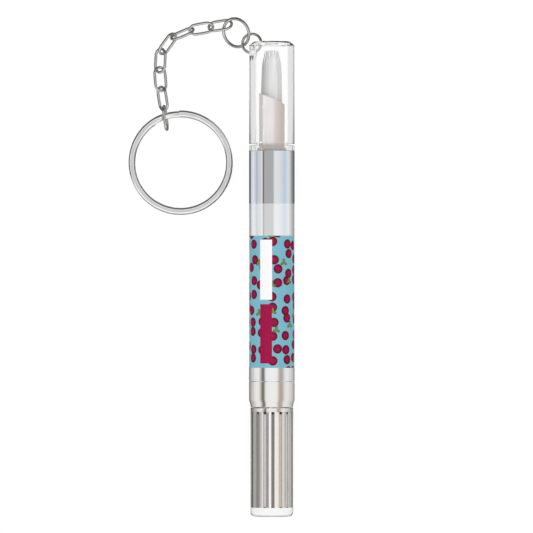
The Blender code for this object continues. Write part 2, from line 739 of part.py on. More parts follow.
def chain(holder):
    """The jump rings and the links, each hung in the one before, down to the table."""
    holder, place, line, hang = small_jump_ring(holder)
    links = [
        Loop(f"chain_link_{number}", LINK_LENGTH, LINK_WIDTH, LINK_WIRE, heading, roll)
        for number, (heading, roll) in enumerate(zip(LINK_HEADINGS, LINK_ROLLS), 1)
    ]
    wire = SMALL_WIRE
    for loop in (LARGE, *links):
        origin = hang.translation
        drop = (origin.z - CHAIN_HEIGHT) / (loop.length - 2 * loop.wire)
        fall = min(STEEPEST_FALL, math.asin(max(0.0, min(1.0, drop))))
        above = sampled(line, place)
        place = placement(origin, math.radians(loop.heading), fall, math.radians(loop.roll))
        grip = LOOSE_LINK_GRIP
        if loop is not links[0]:
            grip = seated_grip(above, loop, place, (wire + loop.wire) / 2 + CHAIN_GAP)
        line = loop_line(loop.length, loop.width, loop.wire, grip)
        holder = body(f"{loop.name}_body", holder, hang)
        wire_loop(loop.name, line, loop.wire, holder, place)
        wire = loop.wire
        hang = place @ Matrix.Translation((loop.length - loop.wire - grip, 0, 0))
    middle = (LINK_LENGTH - LINK_WIRE) / 2 - grip
    split_ring(holder, place @ Vector((middle - SPLIT_IN_LINK, 0, 0)))


def split_ring(holder, origin):
    """The split ring: one flat band wound twice, with a step where it climbs a coil.

    Its band passes through the last link at the origin, and its far side lies on
    the table.
    """
    band_radius = (SPLIT_RING - SPLIT_BAND) / 2
    thickness = 2 * SPLIT_COIL + SPLIT_GAP
    lift = origin.z - thickness / 2 - TABLE
    tilt = math.asin(lift / (2 * band_radius + SPLIT_BAND / 2))
    place = placement(origin, SPLIT_HEADING, tilt, 0)
    upright = Matrix.Rotation(math.pi / 2, 4, "X")
    holder = body("split_ring_body", holder, place @ upright)
    half_width, half_height = SPLIT_BAND / 2, SPLIT_COIL / 2
    section = [
        (half_width, half_height - SPLIT_EASE), (half_width - SPLIT_EASE, half_height),
        (SPLIT_EASE - half_width, half_height), (-half_width, half_height - SPLIT_EASE),
        (-half_width, SPLIT_EASE - half_height), (SPLIT_EASE - half_width, -half_height),
        (half_width - SPLIT_EASE, -half_height), (half_width, SPLIT_EASE - half_height),
    ]
    first = SPLIT_STEP + SPLIT_STEP_HALF + SPLIT_END_GAP
    last = SPLIT_STEP - SPLIT_STEP_HALF - SPLIT_END_GAP + 4 * math.pi
    step_start = SPLIT_STEP + 2 * math.pi - SPLIT_STEP_HALF
    form = bmesh.new()
    before = None
    for index in range(SPLIT_STEPS + 1):
        angle = first + (last - first) * index / SPLIT_STEPS
        share = max(0.0, min(1.0, (angle - step_start) / (2 * SPLIT_STEP_HALF)))
        level = (share * share * (3 - 2 * share) - 0.5) * (SPLIT_COIL + SPLIT_GAP)
        around = Matrix.Rotation(angle, 3, "Z")
        rim = [
            form.verts.new(around @ Vector((band_radius + out, 0, level + up)) + Vector((band_radius, 0, 0)))
            for out, up in section
        ]
        if before:
            for side in range(len(rim)):
                form.faces.new((before[side - 1], before[side], rim[side], rim[side - 1]))
        else:
            form.faces.new(rim)
        before = rim
    form.faces.new(before)
    ring = solid("split_ring", form, STEEL, None)
    put(ring, holder, place)


def main():
    for leftover in list(bpy.data.objects):
        bpy.data.objects.remove(leftover)
    pen = body("pen")
    turning = knob(pen)
    screw_rod(turning)
    piston(pen)
    tail(pen)
    barrel(pen)
    reservoir(pen)
    nozzle(pen)
    bristles(pen)
    chain(cap(pen))


main()
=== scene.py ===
"""The looks of a cuticle oil pen on its chain and key ring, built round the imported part.

The pen lies along +Y with its knob at the origin, and the camera looks straight
down on it. All sizes are in metres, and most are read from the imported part.
"""

import json
import math
import random

import bpy
import numpy as np
from mathutils import Matrix, Vector


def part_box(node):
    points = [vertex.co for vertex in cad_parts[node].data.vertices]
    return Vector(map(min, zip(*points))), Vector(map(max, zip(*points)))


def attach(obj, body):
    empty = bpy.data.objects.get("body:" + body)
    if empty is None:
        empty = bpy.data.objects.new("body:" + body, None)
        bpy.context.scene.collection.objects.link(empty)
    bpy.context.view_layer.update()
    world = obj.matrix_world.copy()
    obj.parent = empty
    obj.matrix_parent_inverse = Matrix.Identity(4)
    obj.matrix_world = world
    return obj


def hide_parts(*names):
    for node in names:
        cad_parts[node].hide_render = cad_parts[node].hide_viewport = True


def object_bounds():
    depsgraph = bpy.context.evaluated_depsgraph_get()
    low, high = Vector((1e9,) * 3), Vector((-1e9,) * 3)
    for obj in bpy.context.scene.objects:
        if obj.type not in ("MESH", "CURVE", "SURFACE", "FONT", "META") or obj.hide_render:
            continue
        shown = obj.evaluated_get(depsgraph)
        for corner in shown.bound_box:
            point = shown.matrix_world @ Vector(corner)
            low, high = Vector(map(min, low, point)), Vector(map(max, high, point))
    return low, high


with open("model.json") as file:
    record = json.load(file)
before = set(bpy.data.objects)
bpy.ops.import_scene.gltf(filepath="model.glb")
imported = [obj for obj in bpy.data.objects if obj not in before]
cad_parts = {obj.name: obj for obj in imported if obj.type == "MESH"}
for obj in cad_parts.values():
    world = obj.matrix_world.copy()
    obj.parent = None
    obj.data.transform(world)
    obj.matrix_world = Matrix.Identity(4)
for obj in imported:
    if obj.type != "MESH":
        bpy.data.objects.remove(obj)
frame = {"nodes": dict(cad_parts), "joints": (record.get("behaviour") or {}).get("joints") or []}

CAD_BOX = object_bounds()
MM = 0.001


# Knob shell
# A clear acrylic cup with a thick rounded base, moulded over the fluted core.
# The core sits in the plastic with no air between, so its flutes look enlarged.

KNOB_CORNER = 1.1 * MM
KNOB_WALL_IN = 0.9 * MM
KNOB_FLOOR_IN = 0.6 * MM
EDGE_ROUND = 0.2 * MM
FACETS = 160
FILLET_STEPS = 6
SMOOTH_ANGLE = 30
WELD = 1e-7
CLEAR_IOR = 1.49
CLEAR_TONES = ((0.98, 0.985, 0.985, 1), (0.99, 0.985, 0.98, 1))
MARK_DEPTH = 0.01 * MM
SCRATCH_STRETCHES = ((1.0, 0.06, 1.0), (0.08, 1.0, 0.7))
SCRATCH_WIDTH = 0.012
WORN_SCALE = 0.12
WORN_RANGE = (0.42, 0.68)
WORN_SHARE = 0.4
DRIFT_RANGE = (0.3, 0.7)


def start_piece(name):
    """Names the primitive that was just added, and opens it in edit mode."""
    piece = bpy.context.object
    piece.name = name
    piece.data.name = name
    bpy.ops.object.transform_apply(location=True, rotation=True, scale=True)
    bpy.ops.object.mode_set(mode="EDIT")
    bpy.ops.mesh.select_mode(type="VERT")
    bpy.ops.mesh.select_all(action="SELECT")
    return piece


def end_piece(piece, smooth=SMOOTH_ANGLE):
    """Leaves edit mode with the normals pointing out, and shades what is round smooth."""
    bpy.ops.mesh.select_all(action="SELECT")
    bpy.ops.mesh.remove_doubles(threshold=WELD)
    bpy.ops.mesh.normals_make_consistent(inside=False)
    bpy.ops.object.mode_set(mode="OBJECT")
    bpy.ops.object.shade_smooth_by_angle(angle=math.radians(smooth))
    return piece


def pick(piece, wanted):
    """Selects the vertices of the piece in edit mode whose places are wanted."""
    bpy.ops.mesh.select_mode(type="VERT")
    bpy.ops.mesh.select_all(action="DESELECT")
    bpy.ops.object.mode_set(mode="OBJECT")
    for vertex in piece.data.vertices:
        vertex.select = bool(wanted(vertex.co))
    bpy.ops.object.mode_set(mode="EDIT")


def rounded(corners):
    """The points of an outline of (radius, height, fillet) corners, fillets as arcs."""
    outline = []
    for index, (radius, height, fillet) in enumerate(corners):
        corner = Vector((radius, height))
        if not fillet:
            outline.append(corner)
            continue
        back = (Vector(corners[index - 1][:2]) - corner).normalized()
        ahead = (Vector(corners[(index + 1) % len(corners)][:2]) - corner).normalized()
        half = back.angle(ahead) / 2
        middle = corner + (back + ahead).normalized() * fillet / math.sin(half)
        spoke = corner + back * fillet / math.tan(half) - middle
        turn = math.copysign(math.pi - 2 * half, -back.cross(ahead))
        for step in range(FILLET_STEPS + 1):
            outline.append(middle + Matrix.Rotation(turn * step / FILLET_STEPS, 2) @ spoke)
    return outline


def turned(name, corners):
    """A piece spun about the pen's axis: its outline is drawn corner by corner, and spun."""
    outline = rounded(corners)
    bpy.ops.object.select_all(action="DESELECT")
    bpy.ops.mesh.primitive_plane_add(size=MM, location=(outline[0].x, outline[0].y, 0))
    piece = start_piece(name)
    bpy.ops.mesh.merge(type="CENTER")
    for before, after in zip(outline, outline[1:]):
        step = (after.x - before.x, after.y - before.y, 0)
        bpy.ops.mesh.extrude_region_move(TRANSFORM_OT_translate={"value": step})
    if outline[0].x > 0 or outline[-1].x > 0:
        ends = (outline[0], outline[-1])
        pick(piece, lambda spot: min((spot.xy - end).length for end in ends) < WELD)
        bpy.ops.mesh.edge_face_add()
    bpy.ops.mesh.select_all(action="SELECT")
    bpy.ops.mesh.spin(steps=FACETS, angle=2 * math.pi, center=(0, 0, 0), axis=(0, 1, 0))
    return end_piece(piece)


def feed(tree, node, sockets):
    """Sets a node's inputs to values or joins them to outputs. A _ in a name is a space."""
    for name, value in sockets.items():
        socket = node.inputs[name.replace("_", " ") if isinstance(name, str) else name]
        if isinstance(value, bpy.types.NodeSocket):
            tree.links.new(value, socket)
        else:
            socket.default_value = value


def add(tree, kind, sockets=None, **settings):
    """A shader node with its settings and its inputs."""
    made = tree.nodes.new("ShaderNode" + kind)
    for name, value in settings.items():
        setattr(made, name, value)
    feed(tree, made, sockets or {})
    return made


def maths(tree, operation, first, second=0.0, third=0.0):
    """The result of a Math node."""
    return add(tree, "Math", {0: first, 1: second, 2: third}, operation=operation).outputs[0]


def between(tree, value, low, high, to_low=0.0, to_high=1.0):
    """A value mapped smoothly from one range to another, and held at its ends."""
    return add(
        tree, "MapRange",
        {"Value": value, "From Min": low, "From Max": high, "To Min": to_low, "To Max": to_high},
        interpolation_type="SMOOTHSTEP",
    ).outputs[0]


def mixed(tree, share, first, second):
    """One colour over another, by a share from 0 to 1."""
    return add(tree, "Mix", {0: share, 6: first, 7: second}, data_type="RGBA").outputs[2]


def noise_of(tree, vector, scale, detail):
    """The value of a noise, which varies about one half."""
    return add(tree, "TexNoise", {"Vector": vector, "Scale": scale, "Detail": detail}).outputs[0]


def new_group(name, inputs, outputs):
    """An empty shader node group with its sockets, and its two end nodes."""
    tree = bpy.data.node_groups.new(name, "ShaderNodeTree")
    for direction, sockets in (("INPUT", inputs), ("OUTPUT", outputs)):
        for label, kind in sockets.items():
            tree.interface.new_socket(label, in_out=direction, socket_type="NodeSocket" + kind)
    return tree, tree.nodes.new("NodeGroupInput"), tree.nodes.new("NodeGroupOutput")


handling, start, end = new_group(
    "handling_marks",
    {"Vector": "Vector", "Scale": "Float", "Roughness": "Float", "Wear": "Float"},
    {"Roughness": "Float", "Height": "Float"},
)
ridges = []
for stretch in SCRATCH_STRETCHES:
    squeezed = add(handling, "Mapping", {"Vector": start.outputs["Vector"], "Scale": stretch}).outputs[0]
    grain = noise_of(handling, squeezed, start.outputs["Scale"], detail=2.0)
    off = maths(handling, "ABSOLUTE", maths(handling, "SUBTRACT", grain, 0.5))
    ridges.append(between(handling, off, 0.0, SCRATCH_WIDTH, 1.0, 0.0))
patch_scale = maths(handling, "MULTIPLY", start.outputs["Scale"], WORN_SCALE)
patches = noise_of(handling, start.outputs["Vector"], patch_scale, detail=3.0)
worn = between(handling, patches, *WORN_RANGE)
scratches = maths(handling, "MULTIPLY", maths(handling, "MAXIMUM", *ridges), worn)
marks = maths(handling, "MULTIPLY_ADD", worn, WORN_SHARE, scratches)
rough = maths(handling, "MULTIPLY_ADD", marks, start.outputs["Wear"], start.outputs["Roughness"])
handling.links.new(rough, end.inputs["Roughness"])
handling.links.new(maths(handling, "MULTIPLY", scratches, -1.0), end.inputs["Height"])

drift, start, end = new_group(
    "tone_drift",
    {"Vector": "Vector", "Scale": "Float", "Color": "Color", "Second Color": "Color"},
    {"Color": "Color"},
)
clouds = noise_of(drift, start.outputs["Vector"], start.outputs["Scale"], detail=4.0)
clouds = between(drift, clouds, *DRIFT_RANGE)
drifting = mixed(drift, clouds, start.outputs["Color"], start.outputs["Second Color"])
drift.links.new(drifting, end.inputs["Color"])


def new_finish(name):
    """An empty material with its tree, its shader and its object coordinates."""
    finish = bpy.data.materials.new(name)
    finish.use_nodes = True
    tree = finish.node_tree
    coordinates = add(tree, "TexCoord").outputs["Object"]
    return finish, tree, tree.nodes["Principled BSDF"], coordinates


def set_shader(tree, shader, **sockets):
    """Sets or joins inputs of the Principled shader."""
    feed(tree, shader, sockets)


def toned(tree, spot, tones, scale):
    """A colour that drifts between two tones over the surface."""
    sockets = {"Vector": spot, "Scale": scale, "Color": tones[0], "Second Color": tones[1]}
    return add(tree, "Group", sockets, node_tree=drift).outputs["Color"]


def handled(tree, spot, scale, roughness, wear):
    """The roughness and the relief of a surface with fine handling marks."""
    sockets = {"Vector": spot, "Scale": scale, "Roughness": roughness, "Wear": wear}
    group = add(tree, "Group", sockets, node_tree=handling)
    return group.outputs["Roughness"], group.outputs["Height"]


def bumped(tree, height, strength, distance=MARK_DEPTH):
    """The normal of a surface with a fine relief."""
    return add(tree, "Bump", {"Height": height, "Strength": strength, "Distance": distance}).outputs[0]


def dress(piece, finish):
    """Gives a piece its finish in every slot."""
    piece.data.materials.clear()
    piece.data.materials.append(finish)


shell_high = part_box("knob_shell")[1]
core_low, core_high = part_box("drive_sleeve")
knob_radius = shell_high.x
core_radius = core_high.x
knob_end = shell_high.y
shell = turned("knob_cup", [
    (0, 0, 0),
    (knob_radius, 0, KNOB_CORNER),
    (knob_radius, knob_end, EDGE_ROUND),
    (core_radius - KNOB_WALL_IN, knob_end, 0),
    (core_radius - KNOB_WALL_IN, core_low.y + KNOB_FLOOR_IN, 0),
    (0, core_low.y + KNOB_FLOOR_IN, 0),
])

acrylic, tree, shader, spot = new_finish("clear_acrylic")
rough, relief = handled(tree, spot, scale=700.0, roughness=0.01, wear=0.02)
set_shader(
    tree, shader, Base_Color=toned(tree, spot, CLEAR_TONES, scale=90.0), Roughness=rough,
    Normal=bumped(tree, relief, strength=0.015), Transmission_Weight=1.0, IOR=CLEAR_IOR,
)
dress(shell, acrylic)
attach(shell, "knob")
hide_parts("knob_shell")


# Knob core
# The drive sleeve: an injection moulded tube with long flutes, vacuum plated
# silver, with a smooth band at its top. Its neck snaps into the tail collar.

FLUTES = 14
FLUTE_PARTS = 10
FLUTE_LAND_PARTS = 6
FLUTE_TURN = 3.3
FLUTE_DEPTH = 0.4 * MM
FLUTE_END_ZONE = 1.0 * MM
FLUTE_RUN_OUT = 0.45 * MM
FLUTE_PAINTED_SHADE = (0.74, 0.71, 0.68, 1)
CREST_FADE = 0.1
BAND_LENGTH = 1.15 * MM
NECK_RADIUS = 3.0 * MM
CORE_SOFTNESS = 0.06 * MM
SIDEWAYS = 0.5
UPWARDS = 0.9
SOFT_STEPS = 2
WARM_TONES = ((0.93, 0.92, 0.91, 1), (0.90, 0.89, 0.88, 1))


def pick_faces(piece, wanted):
    """Selects the faces of the piece in edit mode that are wanted."""
    bpy.ops.mesh.select_mode(type="FACE")
    bpy.ops.mesh.select_all(action="DESELECT")
    bpy.ops.object.mode_set(mode="OBJECT")
    for face in piece.data.polygons:
        face.select = bool(wanted(face))
    bpy.ops.object.mode_set(mode="EDIT")


def soften(piece, width, angle=25):
    """Rounds the hard edges of a finished piece a little."""
    bpy.context.view_layer.objects.active = piece
    bevel = piece.modifiers.new("soft_edges", "BEVEL")
    bevel.width = width
    bevel.segments = SOFT_STEPS
    bevel.limit_method = "ANGLE"
    bevel.angle_limit = math.radians(angle)
    bpy.ops.object.modifier_apply(modifier=bevel.name)
    bpy.ops.object.shade_smooth_by_angle(angle=math.radians(SMOOTH_ANGLE))


def in_flute(face):
    """Whether a face of the core is a side face in one of the flutes."""
    turn = math.degrees(math.atan2(face.center.x, face.center.z)) - FLUTE_TURN
    part = (turn / 360 * FLUTES + 0.5) * FLUTE_PARTS % FLUTE_PARTS - FLUTE_PARTS / 2
    on_side = abs(face.normal.y) < SIDEWAYS and face.center.y < flute_end
    return on_side and 2 * abs(part) < FLUTE_PARTS - FLUTE_LAND_PARTS


flute_end = knob_end - BAND_LENGTH
part_width = 2 * math.pi * core_radius / (FLUTES * FLUTE_PARTS)
bpy.ops.object.select_all(action="DESELECT")
bpy.ops.mesh.primitive_cylinder_add(
    vertices=FLUTES * FLUTE_PARTS, radius=core_radius, depth=knob_end - core_low.y,
    location=(0, (knob_end + core_low.y) / 2, 0),
    rotation=(-math.pi / 2, math.radians(FLUTE_TURN), 0),
)
core = start_piece("knob_core")
bpy.ops.mesh.bisect(plane_co=(0, flute_end, 0), plane_no=(0, 1, 0))
pick_faces(core, in_flute)
bpy.ops.mesh.inset(thickness=part_width, depth=-FLUTE_DEPTH)
floor_of_flute = core_radius - FLUTE_DEPTH / 2
pick(core, lambda spot: spot.xz.length < floor_of_flute and spot.y > flute_end - FLUTE_END_ZONE)
bpy.ops.transform.translate(value=(0, -FLUTE_RUN_OUT, 0))
pick_faces(core, lambda face: face.normal.y > UPWARDS and face.center.y > knob_end - WELD)
bpy.ops.mesh.inset(thickness=core_radius - NECK_RADIUS)
bpy.ops.mesh.extrude_region_move(TRANSFORM_OT_translate={"value": (0, core_high.y - knob_end, 0)})
end_piece(core)
soften(core, CORE_SOFTNESS)


def plated(name, tones, roughness, crest=0.0):
    """A vacuum plated plastic: mirror bright, with a faint ripple and fine scuffs.

    Below a crest radius the colour darkens, as painted shade in the flutes.
    """
    finish, tree, shader, spot = new_finish(name)
    coat = toned(tree, spot, tones, scale=160.0)
    rough, relief = handled(tree, spot, scale=900.0, roughness=roughness, wear=0.04)
    # Painted shade: below the crest radius the colour darkens, most in the flutes' floors.
    if crest:
        flat = add(tree, "VectorMath", {0: spot, 1: (1, 0, 1)}, operation="MULTIPLY").outputs[0]
        out = add(tree, "VectorMath", {0: flat}, operation="LENGTH").outputs["Value"]
        bright = between(tree, out, crest - FLUTE_DEPTH, crest - CREST_FADE * FLUTE_DEPTH)
        coat = mixed(tree, bright, FLUTE_PAINTED_SHADE, coat)
    set_shader(
        tree, shader, Base_Color=coat, Roughness=rough, Metallic=1.0,
        Normal=bumped(tree, relief, strength=0.08),
    )
    return finish


dress(core, plated("fluted_silver_plating", WARM_TONES, roughness=0.05, crest=core_radius))
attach(core, "knob")
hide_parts("drive_sleeve")


# Tail collar
# A plated collar with a taper down to the knob. Its spigot is pressed into the
# barrel, and the core's neck turns in its bore.

TAIL_BAND = 0.65 * MM
TAIL_TAPER = 1.25 * MM
TAIL_SPIGOT = 4.0 * MM
TAIL_SPIGOT_IN = 1.3 * MM
TAIL_ROUND = 0.12 * MM
JOINT_ROUND = 0.05 * MM
COLLAR_BORE = 3.1 * MM

tail_low, tail_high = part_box("tail_collar")
pen_radius = tail_high.x
tail_end = tail_high.y - TAIL_SPIGOT
spigot_radius = pen_radius - TAIL_SPIGOT_IN
collar = turned("tail_ring", [
    (COLLAR_BORE, tail_low.y, 0),
    (knob_radius, tail_low.y, TAIL_ROUND),
    (knob_radius, tail_low.y + TAIL_BAND, TAIL_ROUND),
    (pen_radius, tail_low.y + TAIL_BAND + TAIL_TAPER, TAIL_ROUND),
    (pen_radius, tail_end, JOINT_ROUND),
    (spigot_radius, tail_end, 0),
    (spigot_radius, tail_high.y, TAIL_ROUND),
    (COLLAR_BORE, tail_high.y, 0),
])
dress(collar, plated("warm_silver_plating", WARM_TONES, roughness=0.05))
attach(collar, "pen")
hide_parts("tail_collar")


# Screw drive
# The ratchet ring, the drive nut, the screw rod and the piston are moulded in
# white plastic, and the piston has a rubber seal. They work out of sight.

GRAIN_SCALE = 6000.0
GRAIN_DEPTH = 0.02 * MM
WORKS_TONES = ((0.78, 0.78, 0.75, 1), (0.84, 0.84, 0.82, 1))
RUBBER_TONES = ((0.012, 0.012, 0.013, 1), (0.022, 0.022, 0.024, 1))


def moulded(name, tones, roughness):
    """A plain moulded plastic, slightly mottled, with the fine grain of its mould."""
    finish, tree, shader, spot = new_finish(name)
    grain = noise_of(tree, spot, GRAIN_SCALE, detail=2.0)
    set_shader(
        tree, shader, Base_Color=toned(tree, spot, tones, scale=250.0),
        Roughness=handled(tree, spot, scale=800.0, roughness=roughness, wear=0.1)[0],
        Normal=bumped(tree, grain, strength=0.2, distance=GRAIN_DEPTH),
    )
    return finish


works = moulded("white_moulding", WORKS_TONES, roughness=0.4)
rubber = moulded("seal_rubber_black", RUBBER_TONES, roughness=0.55)
for node in ("screw_rod", "piston_head", "ratchet_ring", "drive_nut"):
    dress(frame["nodes"][node], works)
dress(frame["nodes"]["piston_seal"], rubber)


# Outer barrel
# A moulded tube, vacuum plated in a cooler, mirror-bright silver. The label
# lies in a shallow step in its side.

LABEL_STEP = 0.1 * MM
LABEL_MARGIN = 0.05 * MM
BARREL_TRIM = 0.3 * MM
BARREL_WALL = 1.1 * MM
COOL_TONES = ((0.90, 0.91, 0.93, 1), (0.93, 0.94, 0.95, 1))

barrel_low, barrel_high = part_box("outer_barrel")
label_low, label_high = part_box("label")
barrel_top = barrel_high.y - BARREL_TRIM
barrel_bore = pen_radius - BARREL_WALL
label_seat = label_high.x - LABEL_STEP
barrel = turned("barrel_tube", [
    (barrel_bore, barrel_low.y, 0),
    (pen_radius, barrel_low.y, JOINT_ROUND),
    (pen_radius, label_low.y - LABEL_MARGIN, 0),
    (label_seat, label_low.y - LABEL_MARGIN, 0),
    (label_seat, label_high.y + LABEL_MARGIN, 0),
    (pen_radius, label_high.y + LABEL_MARGIN, 0),
    (pen_radius, barrel_top, JOINT_ROUND),
    (barrel_bore, barrel_top, 0),
])
dress(barrel, plated("cool_silver_plating", COOL_TONES, roughness=0.03))
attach(barrel, "pen")
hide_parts("outer_barrel")


# Label
# A printed film wrapped round the barrel, with its seam at the back. Its lower
# part is printed all over, and its upper part is a milky, unprinted band.

FILM = 0.08 * MM
PRINT_TOP = 76.8 * MM
PRINT_EDGE = 0.04 * MM
PANEL_WIDTH = 3.4 * MM
PANEL_RIGHT = 0.05 * MM
WHITE_PANEL = (59.3 * MM, 75.7 * MM)
CRIMSON_PANEL = (41.9 * MM, 58.1 * MM)
TURQUOISE = (0.205, 0.50, 0.60, 1)
CRIMSON = (0.36, 0.004, 0.062, 1)
DARK_CRIMSON = (0.10, 0.002, 0.018, 1)
LEAF_GREEN = (0.16, 0.30, 0.04, 1)
DARK_GREEN = (0.035, 0.09, 0.015, 1)
PAPER_WHITE = (0.97, 0.97, 0.97, 1)
DOT_PITCH = 3.5 * MM
DOT_SCATTER = 0.55
DOT_EDGE = (0.36, 0.38)
DOT_RIM = (0.08, 0.4)
SPRIG_PITCH = 7.0 * MM
SPRIG_SCATTER = 0.8
SPRIG_SHIFT = (2.1 * MM, 1.3 * MM, 0)
SPRIG_LEAVES = 3.0
SPRIG_REACH = 0.105
SPRIG_LOBE = 0.05
SPRIG_EDGE = 0.006
LEAF_SHADE = (-0.045, -0.015)
MILKY_METAL = 0.6


def inside(tree, value, low, high, edge):
    """1 where a value lies between two limits, with a short soft edge."""
    rising = between(tree, value, low - edge, low + edge)
    falling = between(tree, value, high - edge, high + edge, 1.0, 0.0)
    return maths(tree, "MULTIPLY", rising, falling)


def scattered(tree, flat, pitch, randomness):
    """The Distance to the nearest of many scattered points, and its Position."""
    sockets = {"Vector": flat, "Scale": 1 / pitch, "Randomness": randomness}
    return add(tree, "TexVoronoi", sockets, voronoi_dimensions="2D").outputs


label = turned("label_film", [
    (label_high.x - FILM, label_low.y, 0),
    (label_high.x, label_low.y, 0),
    (label_high.x, label_high.y, 0),
    (label_high.x - FILM, label_high.y, 0),
])

printed, tree, shader, spot = new_finish("label_print_film")
parts = add(tree, "SeparateXYZ", {0: spot})
turn = maths(tree, "ARCTAN2", parts.outputs["X"], parts.outputs["Z"])
arc = maths(tree, "MULTIPLY", turn, label_high.x)
height = parts.outputs["Y"]
flat = add(tree, "CombineXYZ", {"X": arc, "Y": height}).outputs[0]

distance = scattered(tree, flat, DOT_PITCH, DOT_SCATTER)["Distance"]
dots = between(tree, distance, *DOT_EDGE, 1.0, 0.0)
dot_colour = mixed(tree, between(tree, distance, *DOT_RIM), CRIMSON, DARK_CRIMSON)
print_colour = mixed(tree, dots, TURQUOISE, dot_colour)

shifted = add(tree, "VectorMath", {0: flat, 1: SPRIG_SHIFT}).outputs[0]
nearest = scattered(tree, shifted, SPRIG_PITCH, SPRIG_SCATTER)
offset = add(tree, "VectorMath", {0: shifted, 1: nearest["Position"]}, operation="SUBTRACT").outputs[0]
where = add(tree, "SeparateXYZ", {0: offset})
around = maths(tree, "ARCTAN2", where.outputs["X"], where.outputs["Y"])
petals = maths(tree, "COSINE", maths(tree, "MULTIPLY", around, SPRIG_LEAVES))
reach = maths(tree, "MULTIPLY_ADD", petals, SPRIG_LOBE, SPRIG_REACH)
within = maths(tree, "SUBTRACT", nearest["Distance"], reach)
sprigs = between(tree, within, -SPRIG_EDGE, SPRIG_EDGE, 1.0, 0.0)
leaves = mixed(tree, between(tree, within, *LEAF_SHADE), LEAF_GREEN, DARK_GREEN)
print_colour = mixed(tree, sprigs, print_colour, leaves)

panel_width = inside(tree, arc, PANEL_RIGHT - PANEL_WIDTH, PANEL_RIGHT, PRINT_EDGE)
for (low, high), colour in ((WHITE_PANEL, PAPER_WHITE), (CRIMSON_PANEL, CRIMSON)):
    bare = maths(tree, "MULTIPLY", panel_width, inside(tree, height, low, high, PRINT_EDGE))
    print_colour = mixed(tree, bare, print_colour, colour)

milky = between(tree, height, PRINT_TOP - PRINT_EDGE, PRINT_TOP + PRINT_EDGE)
print_rough = handled(tree, spot, scale=800.0, roughness=0.3, wear=0.1)[0]
milky_rough = handled(tree, spot, scale=800.0, roughness=0.08, wear=0.05)[0]
set_shader(
    tree, shader, Base_Color=mixed(tree, milky, print_colour, PAPER_WHITE),
    Roughness=add(tree, "Mix", {0: milky, 2: print_rough, 3: milky_rough}).outputs[0],
    Metallic=maths(tree, "MULTIPLY", milky, MILKY_METAL), Specular_IOR_Level=0.12,
)
dress(label, printed)
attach(label, "pen")
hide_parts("label")


# Reservoir
# A clear tube in the barrel that holds the oil. Only its rounded neck ring
# shows, under the cap, and the short spigot that the cap plugs onto.

NECK_RING_ROUND = 0.12 * MM
NECK_RING_LENGTH = 1.45 * MM
NECK_RING_GAP = 0.03 * MM
FLANGE_SEAT = 4.14 * MM
SPIGOT_WALL = 0.2 * MM
TANK_SLACK = 0.06 * MM
TANK_WALL = 0.72 * MM
TANK_SHOULDER = 3.0 * MM
TANK_MOUTH = 3.26 * MM


def hide_from(piece, *rays):
    """Keeps a piece out of the sight of some kinds of ray."""
    for kind in rays:
        setattr(piece, "visible_" + kind, False)


reservoir_low, reservoir_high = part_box("reservoir")
neck_start = barrel_top + NECK_RING_GAP
neck_end = neck_start + NECK_RING_LENGTH
tank_radius = barrel_bore - TANK_SLACK
tank_bore = tank_radius - TANK_WALL
shoulder = barrel_high.y - TANK_SHOULDER
tank = turned("oil_tube", [
    (tank_bore, reservoir_low.y, 0),
    (tank_radius, reservoir_low.y, 0),
    (tank_radius, neck_start, 0),
    (pen_radius, neck_start, JOINT_ROUND),
    (pen_radius, neck_end, NECK_RING_ROUND),
    (FLANGE_SEAT + SPIGOT_WALL, neck_end, 0),
    (FLANGE_SEAT + SPIGOT_WALL, reservoir_high.y, 0),
    (FLANGE_SEAT, reservoir_high.y, 0),
    (FLANGE_SEAT, barrel_top, 0),
    (TANK_MOUTH, barrel_top, 0),
    (TANK_MOUTH, shoulder, 0),
    (tank_bore, shoulder, 0),
])

dress(tank, acrylic)
hide_from(tank, "diffuse", "shadow")
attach(tank, "pen")
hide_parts("reservoir")


# Nozzle
# A translucent off-white sleeve with a slanted mouth. Its flange sits on the
# reservoir, and its stem, the brush plug and the feed tube are inside.

NOZZLE_SLANT = math.radians(25)
NOZZLE_RADIUS = 3.52 * MM
NOZZLE_BORE = 2.95 * MM
NOZZLE_OVERRUN = 1.0 * MM
NOZZLE_ROUND = 0.1 * MM
NOZZLE_SOFTNESS = 0.05 * MM
NOZZLE_SOFT_ANGLE = 50
FLANGE_RADIUS = 4.06 * MM
FLANGE_LENGTH = 0.85 * MM
FLANGE_GAP = 0.05 * MM
STEM_RADIUS = 3.18 * MM
STEM_BORE = 0.96 * MM
PLUG_GAP = 0.1 * MM
OFF_WHITE_TONES = ((0.80, 0.755, 0.755, 1), (0.84, 0.80, 0.80, 1))
NOZZLE_PAINTED_SHADE = (
    (0.0, 0.35, (0.62, 0.56, 0.54, 1)),
    (0.3, 0.95, (0.53, 0.43, 0.36, 1)),
    (-0.55, -0.72, (0.56, 0.52, 0.51, 1)),
)
FOOT_SHADOW_FADE = (0.2 * MM, 2.0 * MM)
FOOT_PAINTED_SHADOW = (0.50, 0.455, 0.435, 1)

